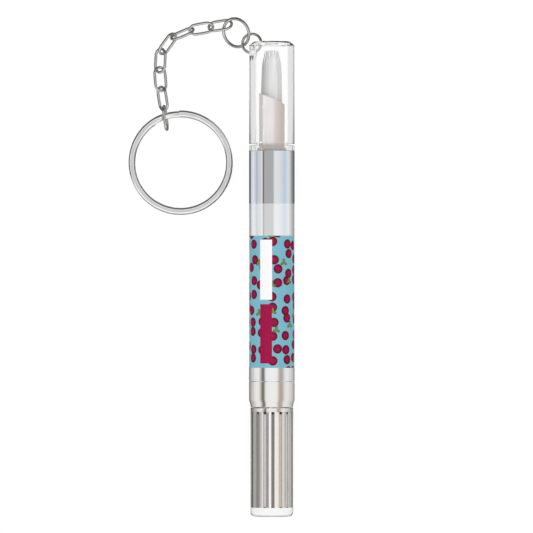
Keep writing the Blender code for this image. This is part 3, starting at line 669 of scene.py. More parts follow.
nozzle_low, nozzle_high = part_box("nozzle")
plug_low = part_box("brush_plug")[0]
flange_start = barrel_top + FLANGE_GAP
flange_end = flange_start + FLANGE_LENGTH
nozzle = turned("nozzle_sleeve", [
    (STEM_BORE, nozzle_low.y, 0),
    (STEM_RADIUS, nozzle_low.y, 0),
    (STEM_RADIUS, flange_start, 0),
    (FLANGE_RADIUS, flange_start, NOZZLE_ROUND),
    (FLANGE_RADIUS, flange_end, EDGE_ROUND),
    (NOZZLE_RADIUS, flange_end, NOZZLE_ROUND),
    (NOZZLE_RADIUS, nozzle_high.y + NOZZLE_OVERRUN, 0),
    (NOZZLE_BORE, nozzle_high.y + NOZZLE_OVERRUN, 0),
    (NOZZLE_BORE, plug_low.y - PLUG_GAP, 0),
    (STEM_BORE, plug_low.y - PLUG_GAP, 0),
])
bpy.ops.object.mode_set(mode="EDIT")
bpy.ops.mesh.select_all(action="SELECT")
bpy.ops.mesh.bisect(
    plane_co=(-NOZZLE_RADIUS, nozzle_high.y, 0), use_fill=True, clear_outer=True,
    plane_no=(math.sin(NOZZLE_SLANT), math.cos(NOZZLE_SLANT), 0),
)
end_piece(nozzle)
soften(nozzle, NOZZLE_SOFTNESS, NOZZLE_SOFT_ANGLE)

frosted, tree, shader, spot = new_finish("translucent_off_white")
parts = add(tree, "SeparateXYZ", {0: spot})
side = maths(tree, "DIVIDE", parts.outputs["X"], NOZZLE_RADIUS)
shade = toned(tree, spot, OFF_WHITE_TONES, scale=180.0)
# Painted shade: the sleeve darkens and warms towards its right side, and darkens at its left edge, by
# its place across the pen.
for low, high, colour in NOZZLE_PAINTED_SHADE:
    shade = mixed(tree, between(tree, side, low, high), shade, colour)
# Painted shadow: the sleeve darkens towards its foot, just above the flange.
foot_start, foot_end = FOOT_SHADOW_FADE
foot_shadow = between(tree, parts.outputs["Y"], flange_end + foot_start, flange_end + foot_end, 1.0, 0.0)
set_shader(
    tree, shader, Base_Color=mixed(tree, foot_shadow, shade, FOOT_PAINTED_SHADOW),
    Roughness=handled(tree, spot, scale=700.0, roughness=0.25, wear=0.08)[0],
    Specular_IOR_Level=0.2, Coat_Weight=0.4, Coat_Roughness=0.03,
)
dress(nozzle, frosted)
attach(nozzle, "pen")
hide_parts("nozzle")
for node in ("brush_plug", "feed_tube"):
    dress(frame["nodes"][node], works)


# Bristles
# A flat tuft of fine white nylon filaments, crimped into the brush plug. Its
# shoulders are rounded, and its end is slightly ragged.

STRANDS = 900
STRAND_RADIUS = 0.075 * MM
STRAND_SIDES = 5
STRAND_JOINTS = 6
STRAND_TAPER = 0.55
ALL_SMOOTH = 180
STRAND_SIZES = (0.8, 1.15)
SEED = 11
GOLDEN_ANGLE = math.pi * (3 - math.sqrt(5))
TUFT_WIDTH = 2.86 * MM
TUFT_DEPTH = 1.42 * MM
TUFT_CROWN = 0.3 * MM
CROWN_POWER = 4
TUFT_RAGGED = 1.2 * MM
RAGGED_POWER = 3
LEAN_START = 0.45
LEAN_LENGTH = 0.33
LEAN_SHARE = 0.05
SHOULDER_START = 0.76
SHOULDER_SHARE = 0.33
SHOULDER_POWER = 1.6
# Painted shade: the clumps' lightnesses, listed from left to right, make the tuft darker at its left and
# lightest right of its middle, in place of light falling across it.
CLUMP_PAINTED_SHADES = (0.0, 0.17, 0.5, 0.64, 0.69, 0.86, 0.93, 1.0, 0.64, 0.58, 0.5)
CLUMP_PULL = 0.75
BEND_POWER = 6
CLUMP_STRAY = 0.08 * MM
CLUMP_SHARE = 0.85
CLUMP_JITTER = 0.03
CLUMP_RAGGED = 0.3
STREAK_SCALE = 1600.0
STREAK_STRETCH = (1.0, 0.03, 1.0)
STREAK_RANGE = (0.35, 0.65)
STREAK_SHARE = 0.15
NYLON_DARK = (0.32, 0.32, 0.32, 1)
NYLON_LIGHT = (0.99, 0.99, 0.99, 1)

tuft_low, tuft_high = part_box("bristles")
bpy.ops.object.select_all(action="DESELECT")
bpy.ops.mesh.primitive_circle_add(
    vertices=STRAND_SIDES, radius=1.0, fill_type="NGON", rotation=(math.pi / 2, 0, 0),
)
strand = start_piece("tuft")
for joint in range(STRAND_JOINTS):
    bpy.ops.mesh.extrude_region_move(TRANSFORM_OT_translate={"value": (0, 1 / STRAND_JOINTS, 0)})
bpy.ops.mesh.merge(type="CENTER")
end_piece(strand, ALL_SMOOTH)


def tuft_width(share):
    """How wide the tuft is at a share of its length, as a share of its width at the root."""
    lean = min(1.0, max(0.0, (share - LEAN_START) / LEAN_LENGTH))
    shoulder = max(0.0, (share - SHOULDER_START) / (1.0 - SHOULDER_START))
    return 1.0 - LEAN_SHARE * lean - SHOULDER_SHARE * shoulder**SHOULDER_POWER


seeded = random.Random(SEED)
clumps = []
for number, tone in enumerate(CLUMP_PAINTED_SHADES):
    place = seeded.uniform(-CLUMP_JITTER, CLUMP_JITTER) + (2 * number + 1) / len(CLUMP_PAINTED_SHADES) - 1
    clumps.append((place, seeded.uniform(0.0, 1.0), tone))
form = np.array([vertex.co for vertex in strand.data.vertices])
rows = form[:, 1]
copies = []
for index in range(STRANDS):
    out = math.sqrt((index + 0.5) / STRANDS)
    turn = index * GOLDEN_ANGLE
    across = out * math.cos(turn)
    deep = out * math.sin(turn)
    middle, shortness, shade = min(clumps, key=lambda clump: abs(clump[0] - across))
    ragged = CLUMP_RAGGED * shortness + (1.0 - CLUMP_RAGGED) * seeded.random() ** RAGGED_POWER
    reach = tuft_high.y - tuft_low.y - TUFT_CROWN * across**CROWN_POWER - TUFT_RAGGED * ragged
    bend = (middle - across) * CLUMP_PULL * TUFT_WIDTH + seeded.uniform(-CLUMP_STRAY, CLUMP_STRAY)
    size = STRAND_RADIUS * seeded.uniform(*STRAND_SIZES)
    widths = np.array([tuft_width(row * reach / (tuft_high.y - tuft_low.y)) for row in rows])
    taper = 1.0 - STRAND_TAPER * rows**2
    spots = np.empty_like(form)
    bent = bend * rows**BEND_POWER
    spots[:, 0] = (across * TUFT_WIDTH - size) * widths + form[:, 0] * size * taper + bent
    spots[:, 1] = tuft_low.y + rows * reach
    spots[:, 2] = deep * TUFT_DEPTH * widths + form[:, 2] * size * taper
    copy = strand.copy()
    copy.data = strand.data.copy()
    copy.data.vertices.foreach_set("co", spots.ravel())
    tone = copy.data.attributes.new("strand_tone_and_shade", "FLOAT", "POINT")
    level = CLUMP_SHARE * shade + (1.0 - CLUMP_SHARE) * seeded.random()
    tone.data.foreach_set("value", np.full(len(spots), level))
    bpy.context.collection.objects.link(copy)
    copies.append(copy)
bpy.data.objects.remove(strand)
bpy.ops.object.select_all(action="DESELECT")
for copy in copies:
    copy.select_set(True)
tuft = copies[0]
bpy.context.view_layer.objects.active = tuft
bpy.ops.object.join()
tuft.name = "tuft"

nylon, tree, shader, spot = new_finish("bristle_nylon_white")
# Each strand's tone is mostly its clump's painted shade, with a little random tone and fine streaks.
tone = add(tree, "Attribute", attribute_name="strand_tone_and_shade").outputs["Fac"]
stretched = add(tree, "Mapping", {"Vector": spot, "Scale": STREAK_STRETCH}).outputs[0]
streaks = between(tree, noise_of(tree, stretched, STREAK_SCALE, detail=3.0), *STREAK_RANGE)
steady = maths(tree, "MULTIPLY", tone, 1.0 - STREAK_SHARE)
share = maths(tree, "MULTIPLY_ADD", streaks, STREAK_SHARE, steady)
set_shader(
    tree, shader, Base_Color=mixed(tree, share, NYLON_DARK, NYLON_LIGHT), Roughness=0.4,
    Specular_IOR_Level=0.35,
)
dress(tuft, nylon)
hide_from(tuft, "diffuse", "shadow")
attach(tuft, "pen")
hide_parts("bristles")


# Cap
# A clear plastic tube with a chamfered, closed end. It plugs onto the reservoir's
# spigot, and two holes in its corner, rubbed dull, take the small jump ring.

CAP_BORE = 4.42 * MM
CAP_END_WALL = 1.1 * MM
CAP_END_ROUND = 0.7 * MM
CAP_CORNER_ROUND = 0.08 * MM
CAP_RIM_ROUND = 0.1 * MM
CAP_CHAMFER_WIDTH = 1.45 * MM
CAP_CHAMFER_HEIGHT = 1.1 * MM
CAP_CUTS = (1.0 * MM, 2.2 * MM, 4.6 * MM)
RING_HOLE = 1.7 * MM
HOLE_SIDES = 32
HOLE_SLACK = 0.03 * MM
HOLE_TILT = 0.1
DRILL_LENGTH = 3.0 * MM
SPOT_DIGITS = 7
SMALL_WIRE_MIDDLE = 2.625 * MM
RUBBED_TONES = ((1, 1, 1, 1), (0.95, 0.95, 0.95, 1))


def lie(node):
    """Where a CAD piece lies: its middle, and its long, wide and flat directions as columns."""
    mesh = frame["nodes"][node].data
    spots = np.unique(np.round([vertex.co for vertex in mesh.vertices], SPOT_DIGITS), axis=0)
    middle = spots.mean(axis=0)
    axes = np.linalg.svd(spots - middle, full_matrices=False)[2]
    axes[2] = np.cross(axes[0], axes[1])
    return Matrix.Translation(middle) @ Matrix(axes.T.tolist()).to_4x4()


def drill_cap(place, turn):
    """Drills a hole for the small jump ring through the cap."""
    bpy.ops.object.select_all(action="DESELECT")
    bpy.ops.mesh.primitive_cylinder_add(
        vertices=HOLE_SIDES, radius=RING_HOLE / 2, depth=DRILL_LENGTH, location=place, rotation=turn,
    )
    drill = bpy.context.object
    bpy.context.view_layer.objects.active = cap
    hole = cap.modifiers.new("ring_hole", "BOOLEAN")
    hole.operation = "DIFFERENCE"
    hole.object = drill
    bpy.ops.object.modifier_apply(modifier=hole.name)
    bpy.data.objects.remove(drill)


def on_bore(face, place, axis):
    """Whether a face of the cap is in the side of a hole through a place, along an axis."""
    away = face.center - place
    facing_in = abs(face.normal.dot(axis)) < HOLE_TILT and away.dot(face.normal) < 0
    on_side = abs(away.cross(axis).length - RING_HOLE / 2) < HOLE_SLACK
    return facing_in and on_side and away.length < DRILL_LENGTH


cap_low, cap_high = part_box("cap")
cap_floor = cap_high.y - CAP_END_WALL
cap = turned("clear_cap", [
    (pen_radius, cap_low.y, JOINT_ROUND),
    (pen_radius, cap_high.y - CAP_CHAMFER_HEIGHT, CAP_CORNER_ROUND),
    (pen_radius - CAP_CHAMFER_WIDTH, cap_high.y, CAP_END_ROUND),
    (0, cap_high.y, 0),
    (0, cap_floor, 0),
    (CAP_BORE, cap_floor, JOINT_ROUND),
    (CAP_BORE, cap_low.y, CAP_RIM_ROUND),
])
bpy.ops.object.mode_set(mode="EDIT")
for below in CAP_CUTS:
    bpy.ops.mesh.select_all(action="SELECT")
    bpy.ops.mesh.bisect(plane_co=(0, cap_floor - below, 0), plane_no=(0, 1, 0))
bpy.ops.object.mode_set(mode="OBJECT")
joints = {joint["name"]: joint for joint in frame["joints"]}
ring_swing = joints["small_ring_swing"]
chord_middle = Vector(ring_swing["pos_m"])
chord = Vector(ring_swing["axis"]).normalized()
ring_middle = lie("small_jump_ring").translation
half_chord = math.sqrt(SMALL_WIRE_MIDDLE**2 - (ring_middle - chord_middle).length_squared)
side_hole = chord_middle + chord * half_chord
end_hole = chord_middle - chord * half_chord
drill_cap(side_hole, (0, math.pi / 2, 0))
drill_cap(end_hole, (math.pi / 2, 0, 0))

rubbed, tree, shader, spot = new_finish("rubbed_bore")
set_shader(
    tree, shader, Base_Color=toned(tree, spot, RUBBED_TONES, scale=900.0),
    Roughness=handled(tree, spot, scale=3000.0, roughness=0.5, wear=0.3)[0],
    Transmission_Weight=0.4, IOR=CLEAR_IOR,
)
dress(cap, acrylic)
cap.data.materials.append(rubbed)
for face in cap.data.polygons:
    if on_bore(face, side_hole, Vector((1, 0, 0))) or on_bore(face, end_hole, Vector((0, 1, 0))):
        face.material_index = 1
hide_from(cap, "diffuse", "shadow")
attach(cap, "cap")
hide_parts("cap")


# Jump rings
# Two round rings of nickel plated steel wire, each bent from one piece and
# closed at a butt joint. The small one passes through the cap's corner.

SMALL_RING = 6.0 * MM
SMALL_WIRE = 0.75 * MM
LARGE_RING = 8.8 * MM
LARGE_WIRE = 0.85 * MM
WIRE_SIDES = 20
WIRE_SMOOTH_ANGLE = 40
RING_PARTS = 96
JOINT_GAP = 0.05 * MM
LINK_TAPER = 0.12
LEG_CUTS = (-0.85, -0.6, -0.35, -0.12, 0.12, 0.35, 0.6, 0.85)
WIRE_TONES = ((0.54, 0.54, 0.525, 1), (0.49, 0.49, 0.475, 1))


def taper_link(loop, length, width):
    """Divides the legs of an oval loop, and draws them together a little towards its ends."""
    for share in LEG_CUTS:
        bpy.ops.mesh.select_all(action="SELECT")
        bpy.ops.mesh.bisect(plane_co=(share * (length - width) / 2, 0, 0), plane_no=(1, 0, 0))
    bpy.ops.object.mode_set(mode="OBJECT")
    for vertex in loop.data.vertices:
        vertex.co.y *= 1 - LINK_TAPER * (2 * vertex.co.x / length) ** 2
    bpy.ops.object.mode_set(mode="EDIT")


def wire_loop(name, length, width, wire):
    """A closed loop of round wire that lies flat at the origin, its length along X.

    Its butt joint is a hairline gap in the middle of one leg.
    """
    bend = (width - wire) / 2
    bpy.ops.object.select_all(action="DESELECT")
    bpy.ops.mesh.primitive_torus_add(
        major_segments=RING_PARTS, minor_segments=WIRE_SIDES, major_radius=bend, minor_radius=wire / 2,
        rotation=(0, 0, math.pi / RING_PARTS),
    )
    loop = start_piece(name)
    for side in (1, -1):
        pick(loop, lambda spot: spot.x * side > 0)
        bpy.ops.transform.translate(value=(side * (length - width) / 2, 0, 0))
    if length > width:
        taper_link(loop, length, width)
    near = bend / 2
    for side in (1, -1):
        pick_faces(loop, lambda face: face.center.y > near)
        bpy.ops.mesh.bisect(plane_co=(side * JOINT_GAP / 2, 0, 0), plane_no=(1, 0, 0))
    pick_faces(loop, lambda face: face.center.y > near and abs(face.center.x) < JOINT_GAP / 2 - WELD)
    bpy.ops.mesh.delete(type="FACE")
    bpy.ops.mesh.select_all(action="SELECT")
    bpy.ops.mesh.fill_holes(sides=2 * WIRE_SIDES)
    return end_piece(loop, WIRE_SMOOTH_ANGLE)


def hang(piece, place):
    """Puts a piece made at the origin at its place, and applies the place to its mesh."""
    bpy.ops.object.select_all(action="DESELECT")
    piece.select_set(True)
    bpy.context.view_layer.objects.active = piece
    piece.matrix_world = place
    bpy.ops.object.transform_apply(location=True, rotation=True, scale=True)


def nickel_plated(name, tones):
    """Nickel plated steel with a faintly uneven tone and fine handling marks."""
    finish, tree, shader, spot = new_finish(name)
    rough, relief = handled(tree, spot, scale=1500.0, roughness=0.1, wear=0.12)
    set_shader(
        tree, shader, Base_Color=toned(tree, spot, tones, scale=400.0),
        Roughness=rough, Normal=bumped(tree, relief, strength=0.15), Metallic=1.0,
    )
    return finish


wire_nickel = nickel_plated("wire_nickel", WIRE_TONES)
for node, size, wire in (
    ("small_jump_ring", SMALL_RING, SMALL_WIRE),
    ("large_jump_ring", LARGE_RING, LARGE_WIRE),
):
    ring = wire_loop(node.replace("jump_ring", "wire_ring"), size, size, wire)
    hang(ring, lie(node))
    dress(ring, wire_nickel)
    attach(ring, node)
    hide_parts(node)


# Chain
# Eight oval links of the same nickel plated wire, each closed round the last
# with its joint in one leg.

LINK_LENGTH = 7.2 * MM
LINK_WIDTH = 3.8 * MM
LINK_WIRE = 0.76 * MM
LINKS = 8

first_link = wire_loop("oval_link_1", LINK_LENGTH, LINK_WIDTH, LINK_WIRE)
links = [first_link]
for number in range(2, LINKS + 1):
    copy = first_link.copy()
    copy.data = first_link.data.copy()
    copy.name = copy.data.name = f"oval_link_{number}"
    bpy.context.collection.objects.link(copy)
    links.append(copy)
for number, link in enumerate(links, 1):
    node = f"chain_link_{number}"
    hang(link, lie(node))
    dress(link, wire_nickel)
    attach(link, node)
    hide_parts(node)


# Split ring
# A flat band of nickel plated spring steel, wound two turns edge to edge and
# pressed flat, with a short step where it climbs from one coil to the other.

SPLIT_RING = 28.5 * MM
SPLIT_BAND = 1.75 * MM
SPLIT_COIL = 0.84 * MM
SPLIT_GAP = 0.06 * MM
SPLIT_EASE = 0.4 * MM
SPLIT_EASE_STEPS = 5
SPLIT_STRETCH = 1.6
SPLIT_SHIFT = 0.22 * MM
SPLIT_STEP = math.radians(180)
SPLIT_STEP_HALF = math.radians(15)
SPLIT_END_GAP = math.radians(1)
SPLIT_NUDGE = Vector((0.15 * MM, 0.3 * MM, 0))
SPLIT_PARTS = 576
BAND_TONES = ((0.70, 0.70, 0.695, 1), (0.65, 0.65, 0.645, 1))

band_radius = (SPLIT_RING - SPLIT_BAND) / 2
first_turn = SPLIT_STEP + SPLIT_STEP_HALF + SPLIT_END_GAP
wound = 4 * math.pi - 2 * (SPLIT_STEP_HALF + SPLIT_END_GAP)
climb = Vector((
    -SPLIT_SHIFT * math.cos(first_turn), SPLIT_SHIFT * math.sin(first_turn), SPLIT_COIL + SPLIT_GAP,
))
bpy.ops.object.select_all(action="DESELECT")
bpy.ops.mesh.primitive_plane_add(size=1, location=(band_radius, 0, 0), rotation=(math.pi / 2, 0, 0))
split = bpy.context.object
split.scale = (SPLIT_BAND / SPLIT_STRETCH, SPLIT_COIL, 1)
split = start_piece("key_ring")
bpy.ops.mesh.bevel(offset=SPLIT_EASE, segments=SPLIT_EASE_STEPS, affect="VERTICES")
bpy.ops.transform.resize(value=(SPLIT_STRETCH, 1, 1), center_override=(band_radius, 0, 0))
bpy.ops.object.mode_set(mode="OBJECT")
rim_count = len(split.data.vertices)
bpy.ops.object.mode_set(mode="EDIT")
bpy.ops.mesh.spin(
    steps=SPLIT_PARTS, angle=-wound, center=(0, 0, 0), axis=(0, 0, 1), use_auto_merge=False,
)
bpy.ops.object.mode_set(mode="OBJECT")
for index, vertex in enumerate(split.data.vertices):
    part = index // rim_count / SPLIT_PARTS
    turn = first_turn + wound * part
    share = (turn - SPLIT_STEP - 2 * math.pi + SPLIT_STEP_HALF) / (2 * SPLIT_STEP_HALF)
    share = max(0.0, min(1.0, share))
    vertex.co += (share * share * (3 - 2 * share) - 0.5) * climb
bpy.ops.object.mode_set(mode="EDIT")
end_piece(split, WIRE_SMOOTH_ANGLE)

split_lie = lie("split_ring")
split_middle = split_lie.translation
flat_up = split_lie.col[2].xyz
flat_up = flat_up if flat_up.z > 0 else -flat_up
heading = split_middle - Vector(joints["split_ring_swing"]["pos_m"])
heading = (heading - flat_up * heading.dot(flat_up)).normalized()
facing = Matrix((heading, flat_up.cross(heading), flat_up)).transposed().to_4x4()
facing = facing @ Matrix.Rotation(first_turn, 4, "Z")
hang(split, Matrix.Translation(split_middle + SPLIT_NUDGE) @ facing)
dress(split, nickel_plated("band_nickel", BAND_TONES))
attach(split, "split_ring")
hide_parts("split_ring")


# Table
# A wide pale table top that the pen and its chain lie on. It looks white and
# takes a faint shadow, and what hangs below it still shows through to the camera.

TABLE_HEIGHT = CAD_BOX[0][2] - 0.02 * MM
TABLE_SIZE = 3.0
TABLE_COLOUR = 0.2
TABLE_SHINE = 0.86
TABLE_GIVES = 0.6


def bare_material(name):
    """A material without a shader, and its tree."""
    finish = bpy.data.materials.new(name)
    finish.use_nodes = True
    tree = finish.node_tree
    tree.nodes.remove(tree.nodes["Principled BSDF"])
    return finish, tree


def flat_grey(level):
    """A grey colour with its alpha."""
    return (level, level, level, 1)


bpy.ops.object.select_all(action="DESELECT")
bpy.ops.mesh.primitive_plane_add(size=TABLE_SIZE, location=(0, 0, TABLE_HEIGHT))
table = start_piece("table")
end_piece(table)
pale, tree = bare_material("pale_table")
ray = add(tree, "LightPath")
given = maths(tree, "MULTIPLY", ray.outputs["Is Diffuse Ray"], TABLE_GIVES)
glow = maths(tree, "MULTIPLY_ADD", ray.outputs["Is Transmission Ray"], TABLE_SHINE, given)
shine = add(tree, "Emission", {"Color": (1, 1, 1, 1), "Strength": glow})
clear = add(tree, "BsdfTransparent", {"Color": flat_grey(TABLE_SHINE)})
by_camera = ray.outputs["Is Camera Ray"]
seen = add(tree, "MixShader", {0: by_camera, 1: shine.outputs[0], 2: clear.outputs[0]})
matt = add(tree, "BsdfDiffuse", {"Color": flat_grey(TABLE_COLOUR)})
both = add(tree, "AddShader", {0: seen.outputs[0], 1: matt.outputs[0]})
tree.links.new(both.outputs[0], tree.nodes["Material Output"].inputs["Surface"])
dress(table, pale)
hide_from(table, "glossy")


# Studio
# Curved glowing cards stand close round the pen and show only in its plated and clear surfaces, where
# their bands paint the reflections. Flat glowing panels, seen only through the clear plastic, paint grey
# into the cap's walls, a dark line at its end and the nozzle's highlight. The world is plain white, and
# darker low down in metal.

CARD_RADIUS = 8.5 * MM
CARD_SIDES = 96
BARREL_SPAN = (76.5 * MM, 100.5 * MM)
BARREL_BANDS = (
    (-1.0, 0.10, 0), (-0.94, 0.12, 0), (-0.90, 0.65, -0.06), (-0.81, 0.82, -0.04),
    (-0.74, 0.70, -0.05), (-0.67, 0.50, -0.06), (-0.61, 0.60, -0.05), (-0.56, 0.70, -0.06),
    (-0.51, 0.62, -0.05), (-0.455, 0.82, -0.06), (-0.41, 0.64, -0.04), (-0.385, 0.13, 0.3),
    (-0.355, 0.13, 0.3), (-0.33, 0.43, 0), (0.07, 0.43, 0), (0.09, 0.77, -0.01),
    (0.28, 0.80, -0.02), (0.42, 0.73, -0.06), (0.56, 0.64, -0.15), (0.64, 0.71, -0.13),
    (0.69, 0.78, -0.14), (0.73, 0.76, -0.03), (0.78, 0.68, 0), (0.84, 0.42, 0), (0.90, 0.26, 0),
    (0.94, 0.14, 0), (1.0, 0.12, 0),
)
TAIL_SPAN = (28.3 * MM, 41.0 * MM)
TAIL_BANDS = (
    (-1.0, 0.14, -0.04), (-0.965, 0.2, -0.02), (-0.93, 0.42, 0.04), (-0.80, 0.66, 0.02),
    (-0.72, 0.84, 0.02), (-0.58, 0.87, 0.02), (-0.50, 0.58, 0.04), (-0.43, 0.20, 0.10),
    (-0.355, 0.19, 0.08), (-0.31, 0.52, 0.04), (-0.26, 0.88, 0.01), (0.10, 0.92, 0.01),
    (0.24, 0.84, 0.03), (0.34, 0.42, 0.18), (0.39, 0.40, 0.18), (0.47, 0.46, 0.06),
    (0.56, 0.78, 0.02), (0.68, 0.86, 0.01), (0.82, 0.70, 0.02), (0.94, 0.48, 0.02),
    (0.965, 0.30, 0), (1.0, 0.24, 0),
)
KNOB_SPAN = (2.2 * MM, 28.3 * MM)
KNOB_BANDS = (
    (-0.97, 0.18, 0.03), (-0.92, 0.34, 0.02), (-0.80, 0.44, 0.01), (-0.70, 0.40, 0.02),
    (-0.62, 0.20, 0.04), (-0.56, 0.42, 0.03), (-0.47, 0.64, 0.02), (-0.42, 1.0, 0),
    (-0.34, 1.0, 0), (-0.31, 0.50, 0.01), (-0.20, 0.34, 0.01), (-0.16, 0.26, 0.02),
    (-0.13, 1.0, 0), (-0.01, 1.0, 0), (0.02, 0.26, 0.03), (0.10, 0.38, 0.03),
    (0.14, 0.95, 0.02), (0.30, 0.88, 0.03), (0.345, 0.50, 0.14), (0.44, 0.68, 0.07),
    (0.55, 0.76, 0.03), (0.62, 0.50, 0.03), (0.72, 0.34, 0.04), (0.745, 1.0, 0), (0.78, 1.0, 0),
    (0.80, 0.50, 0.02), (0.95, 0.40, 0.02),
)
CAP_SPAN = (100.6 * MM, 131.0 * MM)
CAP_BANDS = (
    (-1.0, 0.45, 0.01), (-0.9, 0.6, 0), (-0.6, 0.9, 0), (0.6, 0.9, 0), (0.9, 0.6, 0),
    (1.0, 0.45, 0),
)
UPRIGHT = math.pi / 2
FLAG_HEIGHT = TABLE_HEIGHT + 0.1 * MM
FLAG_MIDDLE = 136 * MM
FLAG_LENGTH = 72 * MM
FLAGS = (("near", 4.7 * MM, 2.4 * MM, 0.45), ("wide", 14.0 * MM, 16.2 * MM, 0.8))
END_FLAG_IN = 0.35 * MM
END_FLAG_SIZE = (10.4 * MM, 0.8 * MM)
END_FLAG_GLOW = 0.2
STRIP_PLACE = (-13 * MM, 109 * MM, 5.8 * MM)
STRIP_SIZE = (1.7 * MM, 20 * MM)
STRIP_GLOW = 60.0
STRIP_BOUNCES = 3
KNOB_SIDE_VIEW = ((0.0, 0.30), (0.54, 0.34), (0.62, 1.25), (0.96, 1.35), (0.985, 0.86), (1.0, 0.86))
CAP_SIDE_VIEW = (
    (0.0, 0.15), (0.70, 0.17), (0.84, 0.22), (0.88, 0.4), (0.91, 1.25), (0.96, 1.25), (0.985, 0.86),
    (1.0, 0.86),
)
VIEW_EDGE = (-0.45, -0.2)
VIEW_TILT = -0.3
FIRST_BOUNCE = 2.5


def ramp(tree, value, stops):
    """A colour ramp of (place, colour) stops, looked up by a value."""
    made = add(tree, "ValToRGB", {"Fac": value})
    marks = made.color_ramp.elements
    marks.remove(marks[1])
    for index, (place, colour) in enumerate(stops):
        mark = marks[0] if index == 0 else marks.new(place)
        mark.position = place
        mark.color = colour
    return made.outputs[0]


def show_where(tree, shown, light):
    """Ends the tree of a card's material: it gives light where it shows, and is clear elsewhere."""
    clear = add(tree, "BsdfTransparent")
    side = add(tree, "MixShader", {0: shown, 1: clear.outputs[0], 2: light.outputs[0]})
    tree.links.new(side.outputs[0], tree.nodes["Material Output"].inputs["Surface"])


def card_place(share, radius, core):
    """Where round a card a camera above sees it, in a surface at a share of the radius.

    It is given as a share of a full turn. Where a core shows through clear plastic,
    the light is bent on its way to it.
    """
    turn = math.asin(share)
    if core:
        turn += math.asin(share * radius / (CLEAR_IOR * core)) - math.asin(share / CLEAR_IOR)
    return (2 * turn - math.asin(share * radius / CARD_RADIUS)) / (2 * math.pi) + 0.5


def glowing_card(name, span, radius, bands, core=None):
    """A round glowing card about the pen, of (share of the radius, level, warmth) bands that paint the
    reflections.
    """
    low, high = span
    bpy.ops.object.select_all(action="DESELECT")
    bpy.ops.mesh.primitive_cylinder_add(
        vertices=CARD_SIDES, radius=CARD_RADIUS, depth=high - low, end_fill_type="NOTHING",
        location=(0, (low + high) / 2, 0), rotation=(-math.pi / 2, 0, 0),
    )
    card = start_piece(name)
    bpy.ops.mesh.normals_make_consistent(inside=False)
    bpy.ops.object.mode_set(mode="OBJECT")
    paint, tree = bare_material(name)
    paint.cycles.emission_sampling = "NONE"
    spot = add(tree, "SeparateXYZ", {0: add(tree, "TexCoord").outputs["Object"]})
    angle = maths(tree, "ARCTAN2", spot.outputs["X"], spot.outputs["Z"])
    around = maths(tree, "MULTIPLY_ADD", angle, 0.5 / math.pi, 0.5)
    stops = [
        (card_place(share, radius, core), (level * (1 + warm), level, level * (1 - warm), 1))
        for share, level, warm in bands
    ]
    light = add(tree, "Emission", {"Color": ramp(tree, around, stops)})
    show_where(tree, add(tree, "NewGeometry").outputs["Backfacing"], light)
    dress(card, paint)
    hide_from(card, "camera", "diffuse", "shadow", "volume_scatter")
    return card


glowing_card("barrel_card", BARREL_SPAN, pen_radius, BARREL_BANDS)
glowing_card("tail_card", TAIL_SPAN, pen_radius, TAIL_BANDS)
glowing_card("knob_card", KNOB_SPAN, knob_radius, KNOB_BANDS, core_radius)
cap_card = glowing_card("cap_card", CAP_SPAN, pen_radius, CAP_BANDS)
hide_from(cap_card, "transmission")


def panel(name, place, turn, size, glow, bounces="Glossy Depth", least=0):
    """A flat glowing panel of an even light that paints what shows through the clear plastic, and shows
    nowhere else.

    It only shows to light that has been mirrored or bent at least so many times.
    """
    bpy.ops.object.select_all(action="DESELECT")
    bpy.ops.mesh.primitive_plane_add(size=1, location=place, rotation=(0, turn, 0))
    bpy.context.object.scale = (*size, 1)
    sheet = start_piece(name)
    bpy.ops.object.mode_set(mode="OBJECT")
    paint, tree = bare_material(name)
    paint.cycles.emission_sampling = "NONE"
    shown = maths(tree, "GREATER_THAN", add(tree, "LightPath").outputs[bounces], least - 0.5)
    show_where(tree, shown, add(tree, "Emission", {"Strength": glow}))
    dress(sheet, paint)
    hide_from(sheet, "camera", "diffuse", "shadow", "glossy", "volume_scatter")


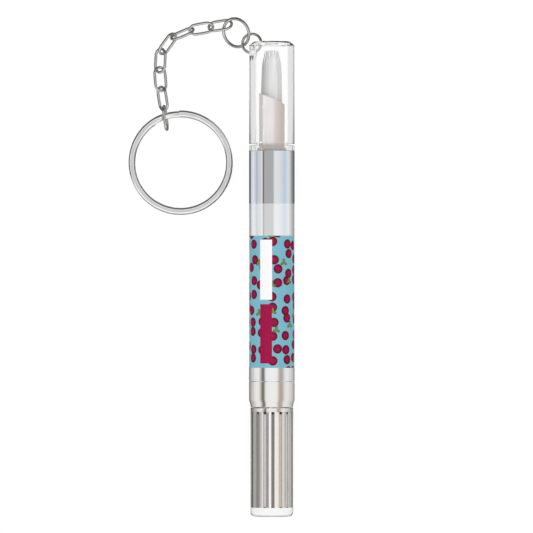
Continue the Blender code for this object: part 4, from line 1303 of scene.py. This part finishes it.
# Grey glowing sheets on the table, seen only through the cap, paint the grey in its walls; a dim one
# under its end paints the dark line there, and a bright upright strip paints the nozzle's highlight.
for side in (-1, 1):
    for kind, out, width, glow in FLAGS:
        place = (side * out, FLAG_MIDDLE, FLAG_HEIGHT)
        panel(f"{kind}_flag_{side + 1}", place, 0, (width, FLAG_LENGTH), glow, least=1)
panel(
    "nozzle_strip", STRIP_PLACE, UPRIGHT, STRIP_SIZE, STRIP_GLOW,
    bounces="Transmission Depth", least=STRIP_BOUNCES,
)
panel("cap_end_flag", (0, cap_high.y - END_FLAG_IN, FLAG_HEIGHT), 0, END_FLAG_SIZE, END_FLAG_GLOW)

world = bpy.data.worlds.new("studio")
world.use_nodes = True
bpy.context.scene.world = world
tree = world.node_tree
ray = add(tree, "LightPath")
direction = add(tree, "SeparateXYZ", {0: add(tree, "TexCoord").outputs["Generated"]})
tilt = maths(tree, "MULTIPLY", maths(tree, "MAXIMUM", direction.outputs["Y"], 0.0), VIEW_TILT)
lift = maths(tree, "MULTIPLY_ADD", direction.outputs["Z"], 0.5, maths(tree, "ADD", tilt, 0.5))
views = []
for levels in (KNOB_SIDE_VIEW, CAP_SIDE_VIEW):
    views.append(ramp(tree, lift, [(place, flat_grey(level)) for place, level in levels]))
cap_side = between(tree, direction.outputs["Y"], *VIEW_EDGE)
mirror_view = mixed(tree, cap_side, *views)
first_bounce = maths(tree, "LESS_THAN", ray.outputs["Ray Depth"], FIRST_BOUNCE)
mirrored = maths(tree, "MULTIPLY", ray.outputs["Is Glossy Ray"], first_bounce)
sky = mixed(tree, mirrored, (1, 1, 1, 1), mirror_view)
feed(tree, tree.nodes["Background"], {"Color": sky, "Strength": 1.0})


# Camera
# It hangs far above the table and looks straight down, so that the pen stands
# upright in the picture with its cap on top.

CAMERA_HEIGHT = 2.0
CAMERA_REACH = 10.0
PHOTO_CENTRE = Vector((-1.464 * MM, 68.37 * MM, 0))
PHOTO_WIDTH = 145.87 * MM

camera_data = bpy.data.cameras.new("camera")
camera_data.lens = camera_data.sensor_width * CAMERA_HEIGHT / PHOTO_WIDTH
camera_data.clip_end = CAMERA_REACH
camera = bpy.data.objects.new("camera", camera_data)
camera.location = PHOTO_CENTRE + Vector((0, 0, CAMERA_HEIGHT))
bpy.context.scene.collection.objects.link(camera)
bpy.context.scene.camera = camera
bpy.context.scene.view_settings.view_transform = "Standard"
